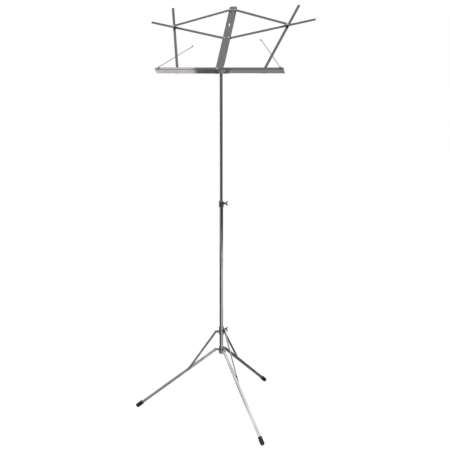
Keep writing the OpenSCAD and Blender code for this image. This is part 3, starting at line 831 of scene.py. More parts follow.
class RivetSet:
    """Rivet heads and shanks of one body, in millimetres in a local frame."""

    def __init__(self):
        self.points, self.axes, self.sizes, self.heads = [], [], [], []

    def _put(self, place, at, axis, radius, height, head):
        self.points.append(place @ (Vector(at) * MM))
        self.axes.append(place.to_3x3() @ Vector(axis))
        self.sizes.append(Vector((radius, radius, height)) * MM)
        self.heads.append(head)

    def head(self, place, at, axis, radius, height):
        """A domed head that stands on the point."""
        self._put(place, at, axis, radius, height, True)
        return self

    def shank(self, place, start, end, radius):
        """A plain round pin from start to end."""
        start, end = Vector(start), Vector(end)
        run = end - start
        self._put(place, (start + end) / 2, run.normalized(), radius, run.length, False)
        return self

    def make(self, name, material):
        """The rivets as one plain mesh."""
        mesh = bpy.data.meshes.new(name)
        mesh.from_pydata(self.points, [], [])
        for label, values in (("axis", self.axes), ("size", self.sizes)):
            attribute = mesh.attributes.new(label, "FLOAT_VECTOR", "POINT")
            attribute.data.foreach_set("vector", [c for v in values for c in v])
        mesh.attributes.new("is_head", "BOOLEAN", "POINT").data.foreach_set("value", self.heads)
        obj = new_object(name, mesh)
        run_tree(obj, rivet_tree(), Sides=28, Lip_Height=0.3, Material=material)
        return obj


# ---- settings ----

def length_setting(name, description, default):
    """A size in metres."""
    return FloatProperty(name=name, description=description, default=default, unit="LENGTH")


def colour_setting(name, description, default):
    """A colour of a finish."""
    return FloatVectorProperty(name=name, description=description, default=default,
                               subtype="COLOR", size=3, min=0, max=1)


class MusicStandBase(bpy.types.PropertyGroup):
    """Sizes of the tripod, in metres."""
    leg_width: length_setting("Leg width", "Width of the folded leg channel", 0.008)
    leg_depth: length_setting("Leg depth", "Depth of the leg channel", 0.0095)
    leg_wall: length_setting("Leg wall", "Sheet thickness of the leg channel", 0.0012)
    leg_round: length_setting("Leg fold radius", "Outer radius of the leg's folds", 0.0016)
    brace_seat: length_setting("Brace seat", "Distance from leg hinge to brace rivet", 0.128)
    boot_diameter: length_setting("Boot diameter", "Diameter of the rubber boots", 0.0155)
    boot_flat: length_setting("Boot flat", "Depth of the flat under each boot", 0.0004)
    boot_length: length_setting("Boot length", "Straight part of a boot", 0.022)
    boot_ribs: IntProperty(name="Boot ribs", description="Moulded ribs round each boot",
                           default=4, min=0, max=8)


class MusicStandTubes(bpy.types.PropertyGroup):
    """Sizes of the tubes, collars and screws, in metres."""
    tube_wall: length_setting("Tube wall", "Wall of both tubes", 0.0008)
    bead: length_setting("Bead", "How far the beads of the upper tube's solid stand out", 0.0004)
    collar_wall: length_setting("Collar wall", "Wall of the leg collar and hub", 0.0024)
    edge: length_setting("Edge radius", "Radius of turned edges", 0.0008)
    screw_diameter: length_setting("Screw diameter", "Diameter of the wing screws", 0.004)
    wing_thick: length_setting("Wing thickness", "Thickness of the wings", 0.002)


class MusicStandDesk(bpy.types.PropertyGroup):
    """Sizes of the desk, in metres."""
    sheet: length_setting("Sheet", "Sheet thickness of spine and ledge", 0.0012)
    corner: length_setting("Spine corner", "Corner radius of the spine's top", 0.006)
    fold: length_setting("Fold radius", "Outer radius of folded sheet edges", 0.0016)
    slot_width: length_setting("Slot width", "Width of the spine's slot", 0.004)
    slot_length: length_setting("Slot length", "Length of the spine's slot", 0.014)
    groove: length_setting("Groove", "Depth of the groove pressed in the bars", 0.0005)
    lip: length_setting("Lip", "Height of the ledge's front lip", 0.003)
    lap_slant: length_setting("Lap slant", "Slant of the left half's inner end", 0.009)
    head_radius: length_setting("Rivet head", "Radius of the rivet heads", 0.003)
    head_height: length_setting("Rivet height", "Height of the rivet heads", 0.0008)
    wire: length_setting("Wire", "Thickness of the page holder wires", 0.002)
    edge: length_setting("Edge radius", "Radius of pressed edges", 0.00028)


class MusicStandFinish(bpy.types.PropertyGroup):
    """Colours and wear of the finishes."""
    tube_colour: colour_setting("Lower tube", "Bright plating of the lower tube", (0.48, 0.455, 0.43))
    upper_tube_colour: colour_setting("Upper tube", "Darker plating of the upper tube", (0.30, 0.30, 0.31))
    leg_colour: colour_setting("Legs", "Plating of the legs", (0.76, 0.755, 0.74))
    brace_colour: colour_setting("Braces", "Duller plating of the braces", (0.42, 0.415, 0.41))
    collar_colour: colour_setting("Collars", "Plating of the hub and collars", (0.38, 0.375, 0.36))
    desk_colour: colour_setting("Spine", "Satin plating of the spine", (0.18, 0.18, 0.18))
    bar_colour: colour_setting("Bars", "Darker plating of the arms and side bars", (0.15, 0.15, 0.155))
    ledge_colour: colour_setting("Ledge", "Bright plating of the ledge", (0.50, 0.47, 0.46))
    rivet_colour: colour_setting("Rivets", "Bright rivets", (0.55, 0.55, 0.54))
    screw_colour: colour_setting("Screws", "Dark plated screws", (0.16, 0.16, 0.16))
    wire_colour: colour_setting("Wires", "Spring wire of the page holders", (0.07, 0.07, 0.07))
    tarnish_colour: colour_setting("Tarnish", "Dull brownish grey of worn plating", (0.17, 0.155, 0.145))
    rubber_colour: colour_setting("Rubber", "Black rubber boots", (0.007, 0.007, 0.0075))
    nylon_colour: colour_setting("Nylon", "Black nylon bushes", (0.02, 0.02, 0.021))
    wear: FloatProperty(name="Wear", description="How far the plating is clouded",
                        default=0.35, min=0, max=1)
    dust: FloatProperty(name="Dust", description="Dust on faces that look up",
                        default=0.12, min=0, max=1)


class MusicStandStage(bpy.types.PropertyGroup):
    """Camera, floor and light."""
    azimuth: FloatProperty(name="Azimuth", description="Direction from the stand to the camera",
                           default=radians(288.92), subtype="ANGLE")
    distance: length_setting("Distance", "Level distance of the camera", 2.7183)
    height: length_setting("Height", "Height of the camera", 1.2528)
    turn: FloatProperty(name="Turn", description="How far the camera looks past the tubes",
                        default=radians(-0.28), subtype="ANGLE")
    pitch: FloatProperty(name="Pitch", description="How far the camera looks down",
                         default=radians(9.04), subtype="ANGLE")
    lens: FloatProperty(name="Lens", description="Focal length in millimetres on a 36 mm frame",
                        default=62.61)
    shift: FloatProperty(name="Shift", description="Upward shift of the picture", default=-0.08)
    floor_colour: colour_setting("Floor", "Pale floor", (0.86, 0.86, 0.86))
    key: FloatProperty(name="Key lamp", description="Power of the main lamp in watts", default=26.0)
    fill: FloatProperty(name="Fill lamp", description="Power of the second lamp in watts", default=12.0)
    room: FloatProperty(name="Room light", description="Strength of the surrounding light", default=0.75)


# ---- pieces ----

class MUSICSTAND_OT_tubes(bpy.types.Operator):
    """Draws the lower tube and the beaded upper tube"""
    bl_idname = "music_stand.tubes"
    bl_label = "Tubes"

    def execute(self, context):
        tubes = context.scene.music_stand_tubes
        look = finishes()
        wall, bead = tubes.tube_wall / MM, tubes.bead / MM
        rim = 0.3
        low, high = reach("lower_tube", ORIGIN)
        r = high.x
        profile = turned_ring(r - wall, r, low.z, high.z, rim)
        lower = make_piece("drawn_lower_tube", Shape().add(lathe(profile, 64, closed=True)))
        dress(lower, "base", look["tube_plating"], "tube_plating", "lower_tube")

        low, high = reach("upper_tube", ORIGIN)
        r = high.x - bead
        bulge = 0.75  # radius of a bead's round face
        play = 0.15
        over_sleeve = reach("sleeve", ORIGIN)[1].z + play
        profile = [(r - wall, low.z)] + arc(r, low.z + bulge, bulge, -90, 90, 6)
        profile += [(r, over_sleeve)] + arc(r, over_sleeve + bulge, bulge, -90, 90, 6)
        profile += arc(r - rim, high.z - rim, rim, 0, 90, 3) + [(r - wall, high.z)]
        upper = make_piece("drawn_upper_tube", Shape().add(lathe(profile, 56, closed=True)))
        dress(upper, "column", look["upper_tube"], "tube_plating", "upper_tube")
        coat("sleeve", look["bush_plastic"])
        return {"FINISHED"}


class MUSICSTAND_OT_hub(bpy.types.Operator):
    """Draws the hub ring with its three tongues, and the plug under it"""
    bl_idname = "music_stand.hub"
    bl_label = "Hub"

    def execute(self, context):
        base, tubes = context.scene.music_stand_base, context.scene.music_stand_tubes
        look = finishes()
        low, high = reach("hub", ORIGIN)
        tube_low, tube_high = reach("lower_tube", ORIGIN)
        tube_r = tube_high.x
        r = tube_r + tubes.collar_wall / MM
        from_end = 3.5
        shape = Shape().add(lathe(turned_ring(tube_r, r, low.z, high.z, tubes.edge / MM,
                                              (low.z + from_end, high.z - from_end)), 64, closed=True))
        side_play, root = 0.6, 2
        thick = (base.leg_width - 2 * base.leg_wall) / MM - side_play
        tongue = (base.leg_depth / 2 - base.leg_wall) / MM
        for name in LEGS:
            hinge = joint_at(f"{name}_leg_fold")
            out = Vector((hinge.x, hinge.y, 0))
            across = Vector((0, 0, 1)).cross(out)
            inner = r - root - out.length / MM
            outline = [(inner, -tongue)] + arc(0, 0, tongue, -90, 90, 12) + [(inner, tongue)]
            shape.add(prism(outline, -thick / 2, thick / 2), placed(hinge, out, across))
        hub = make_piece("turned_hub", shape, edge=0.3)
        dress(hub, "base", look["collar_plating"], "collar_plating", "hub")

        ring, seat = low.z, tube_low.z
        low, high = reach("hub_plug", ORIGIN)
        play = 0.05
        rim, bore = tube_r - play, tube_r - tubes.tube_wall / MM
        profile = [(0, low.z), (tube_r - 2.2, low.z), (tube_r - 1.2, low.z + 0.4), (tube_r - 0.3, ring - 0.6),
                   (rim, ring), (rim, seat), (bore - play, seat),
                   (bore - play, high.z - 0.6), (bore - 0.6, high.z), (0, high.z)]
        plug = make_piece("moulded_plug", Shape().add(lathe(profile)))
        dress(plug, "base", look["bush_plastic"], "bush_plastic", "hub_plug")
        return {"FINISHED"}


class MUSICSTAND_OT_legs(bpy.types.Operator):
    """Draws the three folded legs, open underneath"""
    bl_idname = "music_stand.legs"
    bl_label = "Legs"

    def execute(self, context):
        base = context.scene.music_stand_base
        look = finishes()
        half, deep = base.leg_width / MM / 2, base.leg_depth / MM / 2
        wall, fold = base.leg_wall / MM, base.leg_round / MM
        section = ([(-half, -deep)] + arc(-half + fold, deep - fold, fold, 180, 90, 5)
                   + arc(half - fold, deep - fold, fold, 90, 0, 5) + [(half, -deep), (half - wall, -deep)]
                   + arc(half - fold, deep - fold, fold - wall, 0, 90, 4)
                   + arc(-half + fold, deep - fold, fold - wall, 90, 180, 4) + [(-half + wall, -deep)])
        web = deep + 1  # from the hinge to where the leg's closed face starts
        cheek = arc(0, 0, deep, 90, 270, 14) + [(web + 2, -deep), (web + 2, deep - fold), (web + 1, deep)]
        for name in LEGS:
            place, length = leg_frame(name, base)
            shape = Shape().add(rail(section, web, length - base.boot_length / MM / 2), place)
            upright = placed(place.translation, place.col[0].xyz, place.col[1].xyz * -1)
            for y in (-half, half - wall):
                shape.add(prism(cheek, -y - wall, -y), upright)
            leg = make_piece(f"folded_leg_{name}", shape, edge=0.2)
            dress(leg, f"{name}_leg", look["leg_plating"], "leg_plating", f"leg_{name}")
        return {"FINISHED"}


class MUSICSTAND_OT_boots(bpy.types.Operator):
    """Draws the ribbed rubber boots, each cut flat where it stands"""
    bl_idname = "music_stand.boots"
    bl_label = "Boots"

    def ribs(self, name, base, radius, start):
        """The moulded ribs of one boot, in the leg's frame."""
        end_gap, rib_radius, sunk = 3, 0.55, 0.1
        spacing = (base.boot_length / MM - start - end_gap) / max(1, base.boot_ribs)
        row = new_object(f"ribs_{name}", bpy.data.meshes.new(f"ribs_{name}"))
        run_tree(row, rib_tree(), Count=base.boot_ribs, Spacing=spacing * MM,
                 Ring_Radius=(radius - sunk) * MM, Rib_Radius=rib_radius * MM,
                 Material=finishes()["boot_rubber"])
        return row

    def stand_flat(self, mesh):
        """Cuts off what lies under the floor and closes the cut."""
        bm = bmesh.new()
        bm.from_mesh(mesh)
        parts = bm.verts[:] + bm.edges[:] + bm.faces[:]
        cut = bmesh.ops.bisect_plane(bm, geom=parts, plane_co=(0, 0, 0), plane_no=(0, 0, -1),
                                     clear_outer=True)
        rim = [e for e in cut["geom_cut"] if isinstance(e, bmesh.types.BMEdge)]
        if rim:
            bmesh.ops.edgeloop_fill(bm, edges=rim)
        bm.to_mesh(mesh)
        bm.free()

    def execute(self, context):
        base = context.scene.music_stand_base
        look = finishes()
        r = base.boot_diameter / MM / 2
        straight = base.boot_length / MM
        body = r - 0.5
        rib_start = 9.0
        profile = [(0, 0.6), (r - 2.6, 0.6), (r - 2.2, 0)] + arc(r - 0.7, 0.7, 0.7, -90, 0, 3)
        profile += [(r, 1.6), (r - 0.6, 2.4), (r - 1.1, straight * 0.3), (body, straight * 0.62)]
        profile += [(body, straight - 1), (r, straight)] + arc(0, straight, r, 0, 90, 14)[1:]
        for name in LEGS:
            place, length = leg_frame(name, base)
            start = length - straight
            turned = placed(place @ Vector((start * MM, 0, 0)), place.col[2].xyz, place.col[0].xyz)
            boot = make_piece(f"rubber_boot_{name}", Shape().add(lathe(profile, 56), turned))
            if base.boot_ribs:
                row = self.ribs(name, base, body, rib_start)
                first_rib = place.copy()
                first_rib.translation = place @ Vector(((start + rib_start) * MM, 0, 0))
                row.data.transform(first_rib)
                join_into(boot, row)
            self.stand_flat(boot.data)
            smooth(boot.data)
            dress(boot, f"{name}_leg", look["boot_rubber"], "boot_rubber", f"boot_{name}")
        return {"FINISHED"}


class MUSICSTAND_OT_collars(bpy.types.Operator):
    """Draws the leg collar with its ears and the height clutch, each with a screw boss"""
    bl_idname = "music_stand.collars"
    bl_label = "Collars"

    def screw_boss(self, shape, tubes, hinge):
        """Adds the threaded boss of a wing screw to a collar."""
        screw = screw_frame(hinge)
        r = tubes.screw_diameter / MM / 2
        boss, foot, length, rim = r + 2, 0.6, 5, 0.6
        profile = [(r, 0), (boss + foot, 0), (boss, 0.8)]
        profile += arc(boss - rim, length - rim, rim, 0, 90, 4) + [(r, length)]
        shape.add(lathe(profile, 40, closed=True), placed(screw.translation, (0, 0, 1), screw.col[0].xyz))

    def execute(self, context):
        tubes, desk = context.scene.music_stand_tubes, context.scene.music_stand_desk
        look = finishes()
        tube_r, lower_top = reach("lower_tube", ORIGIN)[1].xz
        wall = tubes.collar_wall / MM

        low, high = reach("collar", ORIGIN)
        play, from_end = 0.07, 4
        r = tube_r + wall
        shape = Shape().add(lathe(turned_ring(tube_r + play, r, low.z, high.z, tubes.edge / MM,
                                              (low.z + from_end, high.z - from_end)), 64, closed=True))
        self.screw_boss(shape, tubes, "collar_screw_turn")
        ear, root = 4.5, 1
        for name in LEGS:
            hinge = joint_at(f"{name}_brace_fold")
            out = Vector((hinge.x, hinge.y, 0))
            place = placed(hinge, out, joint_axis(f"{name}_brace_fold"))
            top = ear_top(name, place, desk)
            inner = (r ** 2 - (top - EAR_THICK) ** 2) ** 0.5 - root - out.length / MM
            outline = [(inner, -ear)] + arc(0, 0, ear, -90, 90, 12) + [(inner, ear)]
            shape.add(prism(outline, top - EAR_THICK, top), place)
        collar = make_piece("leg_collar_sleeve", shape, edge=0.3)
        dress(collar, "leg_collar", look["collar_plating"], "collar_plating", "collar")

        low, high = reach("clutch", ORIGIN)
        upper_r = reach("upper_tube", ORIGIN)[1].x - tubes.bead / MM + 0.05
        r = tube_r + 0.75 * wall
        flare = 0.5
        profile = [(tube_r, low.z)] + arc(r, low.z + flare, flare, -90, 0, 3)
        profile += [(r + flare, low.z + 2), (r, low.z + 2.6)]
        for z in (low.z + 5, high.z - 4.5):
            profile += turned_groove(r, z, 0.4)
        profile += [(r, high.z - 2.2), (r - 0.5, high.z - 1.2), (r - 1.5, high.z - 0.2), (r - 2, high.z),
                    (upper_r, high.z), (upper_r, lower_top), (tube_r, lower_top)]
        shape = Shape().add(lathe(profile, 64, closed=True))
        self.screw_boss(shape, tubes, "clutch_screw_turn")
        clutch = make_piece("height_clutch", shape, edge=0.15)
        dress(clutch, "base", look["screw_steel"], "collar_plating", "clutch")
        return {"FINISHED"}


class MUSICSTAND_OT_braces(bpy.types.Operator):
    """Draws the flat braces with their pressed groove"""
    bl_idname = "music_stand.braces"
    bl_label = "Braces"

    def execute(self, context):
        base, desk = context.scene.music_stand_base, context.scene.music_stand_desk
        look = finishes()
        head, head_r, dome_r = desk.head_height / MM, 3, 5.4
        for name in LEGS:
            place, length = brace_frame(name, base)
            low, high = reach(f"brace_{name}", place)
            thick = high.z - head - low.z
            seated = place @ Matrix.Translation((0, 0, low.z * MM))
            shape = Shape().add(pressed_bar(length, high.y - low.y, thick, 0.5), seated)
            dome = arc(0, thick + head - dome_r, dome_r, 58, 90, 5)[:-1]
            shape.add(lathe([(0, thick - 0.2), (head_r, thick - 0.2), (head_r, thick + 0.25)]
                            + dome + [(0, thick + head)], 28),
                      seated @ Matrix.Translation((length * MM, 0, 0)))
            brace = make_piece(f"pressed_brace_{name}", shape, edge=0.25)
            dress(brace, f"{name}_brace", look["brace_plating"], "leg_plating", f"brace_{name}")
        return {"FINISHED"}


class MUSICSTAND_OT_screws(bpy.types.Operator):
    """Draws the two wing screws"""
    bl_idname = "music_stand.screws"
    bl_label = "Wing screws"

    def execute(self, context):
        tubes = context.scene.music_stand_tubes
        look = finishes()
        r, half = tubes.screw_diameter / MM / 2, tubes.wing_thick / MM / 2
        boss, seat = r + 1.8, SCREW_SEAT
        for name in ("collar", "clutch"):
            node = f"{name}_screw"
            place = screw_frame(f"{node}_turn")
            low, high = reach(node, place)
            grip = high.x - seat
            turned = placed(place.translation, (0, 0, 1), place.col[0].xyz)
            profile = [(0, low.x), (r - 0.4, low.x), (r, low.x + 0.4), (r, seat), (boss, seat),
                       (boss + 0.1, seat + 0.8), (boss - 0.4, seat + grip * 0.4),
                       (boss - 1.4, seat + grip * 0.58), (0, seat + grip * 0.62)]
            shape = Shape().add(lathe(profile, 36), turned)
            # one wing: how far out along the head and how far across, as shares of its grip and span
            bow = ((0.42, 0.62), (0.58, 0.9), (0.82, 0.985), (0.985, 0.8), (0.9, 0.55), (0.72, 0.3))
            wing = smooth_outline([(seat + 0.7, 0.4), (seat + 1.2, boss - 0.6)]
                                  + [(seat + grip * x, high.z * y) for x, y in bow]
                                  + [(seat + grip * 0.6, 0.2)])
            flat = placed(place.translation, place.col[0].xyz, place.col[1].xyz * -1)
            shape.add(prism(wing, -half, half), flat)
            shape.add(prism([(x, -y) for x, y in reversed(wing)], -half, half), flat)
            screw = make_piece(f"winged_{node}", shape, edge=0.55, segments=3)
            dress(screw, f"{name}_wing_screw", look["screw_steel"], "screw_steel", node)
        return {"FINISHED"}


class MUSICSTAND_OT_tilt_joint(bpy.types.Operator):
    """Draws the tongue, the bracket, the bolt and the wing nut of the tilt joint"""
    bl_idname = "music_stand.tilt_joint"
    bl_label = "Tilt joint"

    def execute(self, context):
        look = finishes()
        for node, body, edge, finish, slot in (
                ("tilt_head", "column", 0.35, "upper_tube", "collar_plating"),
                ("tilt_bracket", "desk", 0.25, "collar_plating", "collar_plating"),
                ("tilt_bolt", "desk", 0.25, "screw_steel", "screw_steel"),
                ("tilt_nut", "wing_nut", 0.3, "screw_steel", "screw_steel")):
            dress(rounded_copy(f"eased_{node}", node, edge), body, look[finish], slot, node)
        return {"FINISHED"}


class MUSICSTAND_OT_spine(bpy.types.Operator):
    """Draws the spine: pressed sheet with folded edges, a rounded top and a slot"""
    bl_idname = "music_stand.spine"
    bl_label = "Spine"

    def channel(self, desk, half, deep, start, end):
        """The spine's channel, whose flanges run out towards both of its ends."""
        fold, run_out = desk.fold / MM, 11
        full = end - start - 2 * run_out
        stations = [start, start + 4] + [start + run_out + full * i / 12 for i in range(12)]
        stations += [end - run_out, end - 4, end]
        verts = []
        for s in stations:
            rise = min(1, (s - start) / run_out, (end - s) / run_out)
            flange = fold + (deep - fold) * rise
            row = [(-half, -flange)] + arc(-half + fold, -fold, fold, 180, 90, 5)
            row += [(x * (half - fold), 0) for x in (-0.6, -0.2, 0.2, 0.6)]
            row += arc(half - fold, -fold, fold, 90, 0, 5) + [(half, -flange)]
            verts += [DESK @ (Vector((x, s, z)) * MM) for x, z in row]
        mesh = bpy.data.meshes.new("pressed_spine")
        mesh.from_pydata(verts, [], strips(len(stations), len(row), len(row) - 1))
        spine = new_object("pressed_spine", mesh)
        if mesh.polygons[len(mesh.polygons) // 2].normal.dot(DESK.col[2].xyz) < 0:
            mesh.flip_normals()
        wall = spine.modifiers.new("sheet", "SOLIDIFY")
        wall.thickness = desk.sheet
        wall.offset = -1
        wall.use_even_offset = False
        apply_modifiers(spine)
        return spine

    def execute(self, context):
        desk = context.scene.music_stand_desk
        look = finishes()
        low, high = reach("spine", DESK)
        half, corner, top = high.x, desk.corner / MM, high.y
        flat_foot = 21
        start, end = low.y + flat_foot, top - 2 * corner
        spine = self.channel(desk, half, -low.z, start, end)

        upper = local(joint_at("right_upper_arm_fold"), DESK).y
        middle = local(joint_at("right_lower_arm_fold"), DESK).y
        below_centre, through = 5, 4
        width, length = desk.slot_width / MM, desk.slot_length / MM
        slot_start = (upper + middle) / 2 - below_centre - length / 2 + width / 2
        turned = DESK @ Matrix.Translation((0, slot_start * MM, 0)) @ Matrix.Rotation(pi / 2, 4, "Z")
        carve(spine, prism(capsule(length - width, width / 2), -through, through), turned)

        sheet = desk.sheet / MM
        foot = [(-half, low.y), (half, low.y), (half, start), (-half, start)]
        head = ([(-half, end), (half, end)] + arc(half - corner, top - corner, corner, 0, 90, 10)
                + arc(-half + corner, top - corner, corner, 90, 180, 10))
        ends = Shape().add(prism(foot, -sheet, 0), DESK).add(prism(head, -sheet, 0), DESK)
        join_into(spine, make_piece("spine_ends", ends))
        round_edges(spine, 0.15, angle=50)
        smooth(spine.data, 40)
        dress(spine, "desk", look["desk_plating"], "desk_plating", "spine")
        return {"FINISHED"}


class MUSICSTAND_OT_arms(bpy.types.Operator):
    """Draws the arms and side bars with their pressed grooves, and the hooks of the upper arms"""
    bl_idname = "music_stand.arms"
    bl_label = "Arms and side bars"

    def execute(self, context):
        desk = context.scene.music_stand_desk
        look = finishes()
        edge, groove, head = desk.edge / MM, desk.groove / MM, desk.head_height / MM
        hook_mouth, hook_open = 2.15, (118, 348)
        low, high = reach("stud_right", DESK)
        cross = (low.xy + high.xy) / 2
        for kind in ("lower_arm", "side_bar", "upper_arm"):
            pin = local(joint_at(f"right_{kind}_fold"), DESK)
            slope = atan2(cross.y - pin.y, cross.x - pin.x)
            run = DESK @ Matrix.Translation(Vector((pin.x, pin.y, 0)) * MM) @ Matrix.Rotation(slope, 4, "Z")
            low, high = reach(f"{kind}_right", run)
            width = -2 * low.x
            thick = high.z - low.z - (head if kind == "side_bar" else 0)
            flat = run @ Matrix.Translation((0, 0, (high.z - thick) * MM))
            to_cross = (cross - pin.xy).length
            at_cross = flat @ Matrix.Translation((to_cross * MM, 0, 0))
            shape = Shape()
            if kind == "upper_arm":
                outer = high.x - to_cross
                shape.add(pressed_bar(to_cross - outer * 0.55, width, thick, groove), flat)
                hook = arc(0, 0, outer, *hook_open, 26) + arc(0, 0, hook_mouth, *reversed(hook_open), 12)
                shape.add(prism(hook, 0, thick), at_cross)
            else:
                shape.add(pressed_bar(high.x - width / 2, width, thick, groove), flat)
            if kind == "side_bar":
                shape.add(lathe([(0, 0.2), (3, 0.2), (3, -0.3), (2.2, -head * 0.8), (1.1, -head * 0.97),
                                 (0, -head)], 28), at_cross)
            for side in SIDES:
                mirrored = shape.moved(DESK @ side_flip(side) @ DESK.inverted())
                piece = make_piece(f"pressed_{kind}_{side}", mirrored, edge=edge)
                dress(piece, f"{side}_{kind}", look["bar_plating"], "bar_plating", f"{kind}_{side}")
        return {"FINISHED"}


class MUSICSTAND_OT_ledge(bpy.types.Operator):
    """Draws the two ledge halves, their lips and the tabs that carry the hinges"""
    bl_idname = "music_stand.ledge"
    bl_label = "Ledge"

    def execute(self, context):
        desk = context.scene.music_stand_desk
        look = finishes()
        sheet, lip, fold = desk.sheet / MM, desk.lip / MM, desk.fold / MM
        slant = desk.lap_slant / MM
        past_hinge, post_lug = 4, 4.65
        inner = local(joint_at("right_ledge_fold"), DESK).x - past_hinge
        for side in SIDES:
            low, high = reach(f"ledge_{side}", DESK)
            outer = high.x if side == "right" else -low.x
            back, front, under = low.z, high.z, low.y
            shelf = under + sheet
            section = ([(shelf, back), (under, back)] + arc(under + fold, front - fold, fold, 180, 90, 5)
                       + [(lip, front), (lip, front - sheet)]
                       + arc(under + fold, front - fold, fold - sheet, 90, 180, 4))
            shape = Shape().add(rail(section, inner, outer))
            pin = local(joint_at(f"{side}_page_wire_turn"), DESK)
            lug = arc(abs(pin.x), pin.y, post_lug, -100, 260, 30)[:-1]
            shape.add(prism(lug, front - sheet, front))
            if side == "left":
                tail = [(inner + 3, back), (-high.x + 2 * slant, back), (-high.x, front), (inner + 3, front)]
                upright = Matrix.Translation((0, shelf * MM, 0)) @ Matrix.Rotation(pi / 2, 4, "X")
                shape.add(prism(tail, 0, sheet), upright)
            half = make_piece(f"folded_ledge_{side}", shape.moved(DESK @ side_flip(side)), edge=0.22)
            dress(half, f"{side}_ledge", look["ledge_plating"], "ledge_plating", f"ledge_{side}")
            tabs = rounded_copy(f"ledge_tabs_{side}", f"ledge_lugs_{side}", 0.25)
            dress(tabs, f"{side}_ledge", look["bar_plating"], "ledge_plating", f"ledge_lugs_{side}")
        return {"FINISHED"}


class MUSICSTAND_OT_rivets(bpy.types.Operator):
    """Sets the domed rivets, studs and posts"""
    bl_idname = "music_stand.rivets"
    bl_label = "Rivets"

    def tripod(self, base, desk, r, h, steel):
        """Pins of the leg hinges in the hub and of the brace hinges in the collar."""
        legs, collar = RivetSet(), RivetSet()
        half = base.leg_width / MM / 2
        for name in LEGS:
            hinge = f"{name}_leg_fold"
            place = placed(joint_at(hinge), (0, 0, 1), joint_axis(hinge))
            cheek = half + 0.1
            legs.head(place, (0, 0, cheek), (0, 0, 1), r, h).head(place, (0, 0, -cheek), (0, 0, -1), r, h)
            legs.shank(place, (0, 0, -cheek), (0, 0, cheek), RIVET_SHANK)
            hinge = f"{name}_brace_fold"
            place = placed(joint_at(hinge), (0, 0, 1), joint_axis(hinge))
            top = ear_top(name, place, desk)
            collar.head(place, (0, 0, top), (0, 0, 1), r, h)
            collar.shank(place, (0, 0, half + 0.3), (0, 0, top), RIVET_SHANK)
        dress(legs.make("leg_rivets", steel), "base", steel, "rivet_plating", "leg_pins")
        dress(collar.make("collar_rivets", steel), "leg_collar", steel, "rivet_plating", "brace_pins")

    def spine(self, desk, r, h, steel, satin):
        """Rivets of the arms, the ledge and the tilt bracket in the spine."""
        gap, rear_face = 0.05, -desk.sheet / MM
        rivets = RivetSet()
        for kind, layer in (("upper_arm", "upper_arm_right"), ("lower_arm", "lower_arm_right"),
                            ("ledge", "ledge_lugs_right")):
            pin = local(joint_at(f"right_{kind}_fold"), DESK)
            below, above = reach(layer, DESK)
            for side in SIDES:
                x = -pin.x if side == "left" else pin.x
                if kind == "upper_arm":
                    front, rear = above.z + gap, rear_face
                    collar_from, collar_to = 0, below.z - gap
                else:
                    front, rear = 0, below.z - gap
                    collar_from, collar_to = above.z + gap, rear_face
                rivets.shank(DESK, (x, pin.y, collar_from), (x, pin.y, collar_to), r)
                rivets.head(DESK, (x, pin.y, front), (0, 0, 1), r, h)
                rivets.head(DESK, (x, pin.y, rear), (0, 0, -1), r, h)
                rivets.shank(DESK, (x, pin.y, rear), (x, pin.y, front), RIVET_SHANK)
        low, high = reach("bracket_rivets", DESK)
        bracket = RivetSet()
        for y in (low.y + r, high.y - r):
            bracket.head(DESK, (0, y, 0), (0, 0, 1), r, h)
            bracket.head(DESK, (0, y, low.z + h), (0, 0, -1), 2, h)
        dress(rivets.make("spine_rivet_set", steel), "desk", steel, "rivet_plating", "spine_rivets")
        dress(bracket.make("bracket_rivet_set", satin), "desk", satin, "rivet_plating", "bracket_rivets")

    def crossing(self, side, r, h, steel):
        """The stud on which the upper arm's hook rests, where lower arm and side bar cross."""
        low, high = reach(f"stud_{side}", DESK)
        arm_low, arm_high = reach(f"lower_arm_{side}", DESK)
        under_hook = reach(f"upper_arm_{side}", DESK)[0].z - 0.1
        x, y = (low.xy + high.xy) / 2
        top = high.z - h
        stud = RivetSet().head(DESK, (x, y, arm_low.z), (0, 0, -1), r, h)
        stud.shank(DESK, (x, y, arm_high.z - 0.2), (x, y, under_hook), r)
        stud.shank(DESK, (x, y, under_hook), (x, y, top), 1.8)
        stud.head(DESK, (x, y, top), (0, 0, 1), r + 0.5, h)
        dress(stud.make(f"crossing_stud_{side}", steel), f"{side}_lower_arm", steel, "rivet_plating",
              f"stud_{side}")

    def ledge(self, side, desk, r, h, steel):
        """The side bar's foot rivet and the page wire's post."""
        low, high = reach(f"foot_rivet_{side}", DESK)
        x, y = (low.xy + high.xy) / 2
        rear, front = low.z + h, high.z - h
        foot = RivetSet().head(DESK, (x, y, rear), (0, 0, -1), r, h)
        foot.head(DESK, (x, y, front), (0, 0, 1), r, h)
        foot.shank(DESK, (x, y, rear), (x, y, front), RIVET_SHANK)
        low, high = reach(f"wire_post_{side}", DESK)
        pin = local(joint_at(f"{side}_page_wire_turn"), DESK)
        wire = desk.wire / MM
        eye = 1.6 * wire
        under, top = pin.z - wire / 2 - 0.2, high.z - h
        if under > low.z:
            foot.shank(DESK, (pin.x, pin.y, low.z), (pin.x, pin.y, under), eye)
        foot.shank(DESK, (pin.x, pin.y, low.z), (pin.x, pin.y, top), eye - wire / 2 - 0.1)
        foot.head(DESK, (pin.x, pin.y, top), (0, 0, 1), eye + 0.2, h)
        dress(foot.make(f"ledge_rivets_{side}", steel), f"{side}_ledge", steel, "rivet_plating",
              f"foot_rivet_{side}", f"wire_post_{side}")

    def execute(self, context):
        base, desk = context.scene.music_stand_base, context.scene.music_stand_desk
        look = finishes()
        r, h = desk.head_radius / MM, desk.head_height / MM
        steel = look["rivet_plating"]
        self.tripod(base, desk, r, h, steel)
        self.spine(desk, r, h, steel, look["desk_plating"])
        for side in SIDES:
            self.crossing(side, r, h, steel)
            self.ledge(side, desk, r, h, steel)
        return {"FINISHED"}


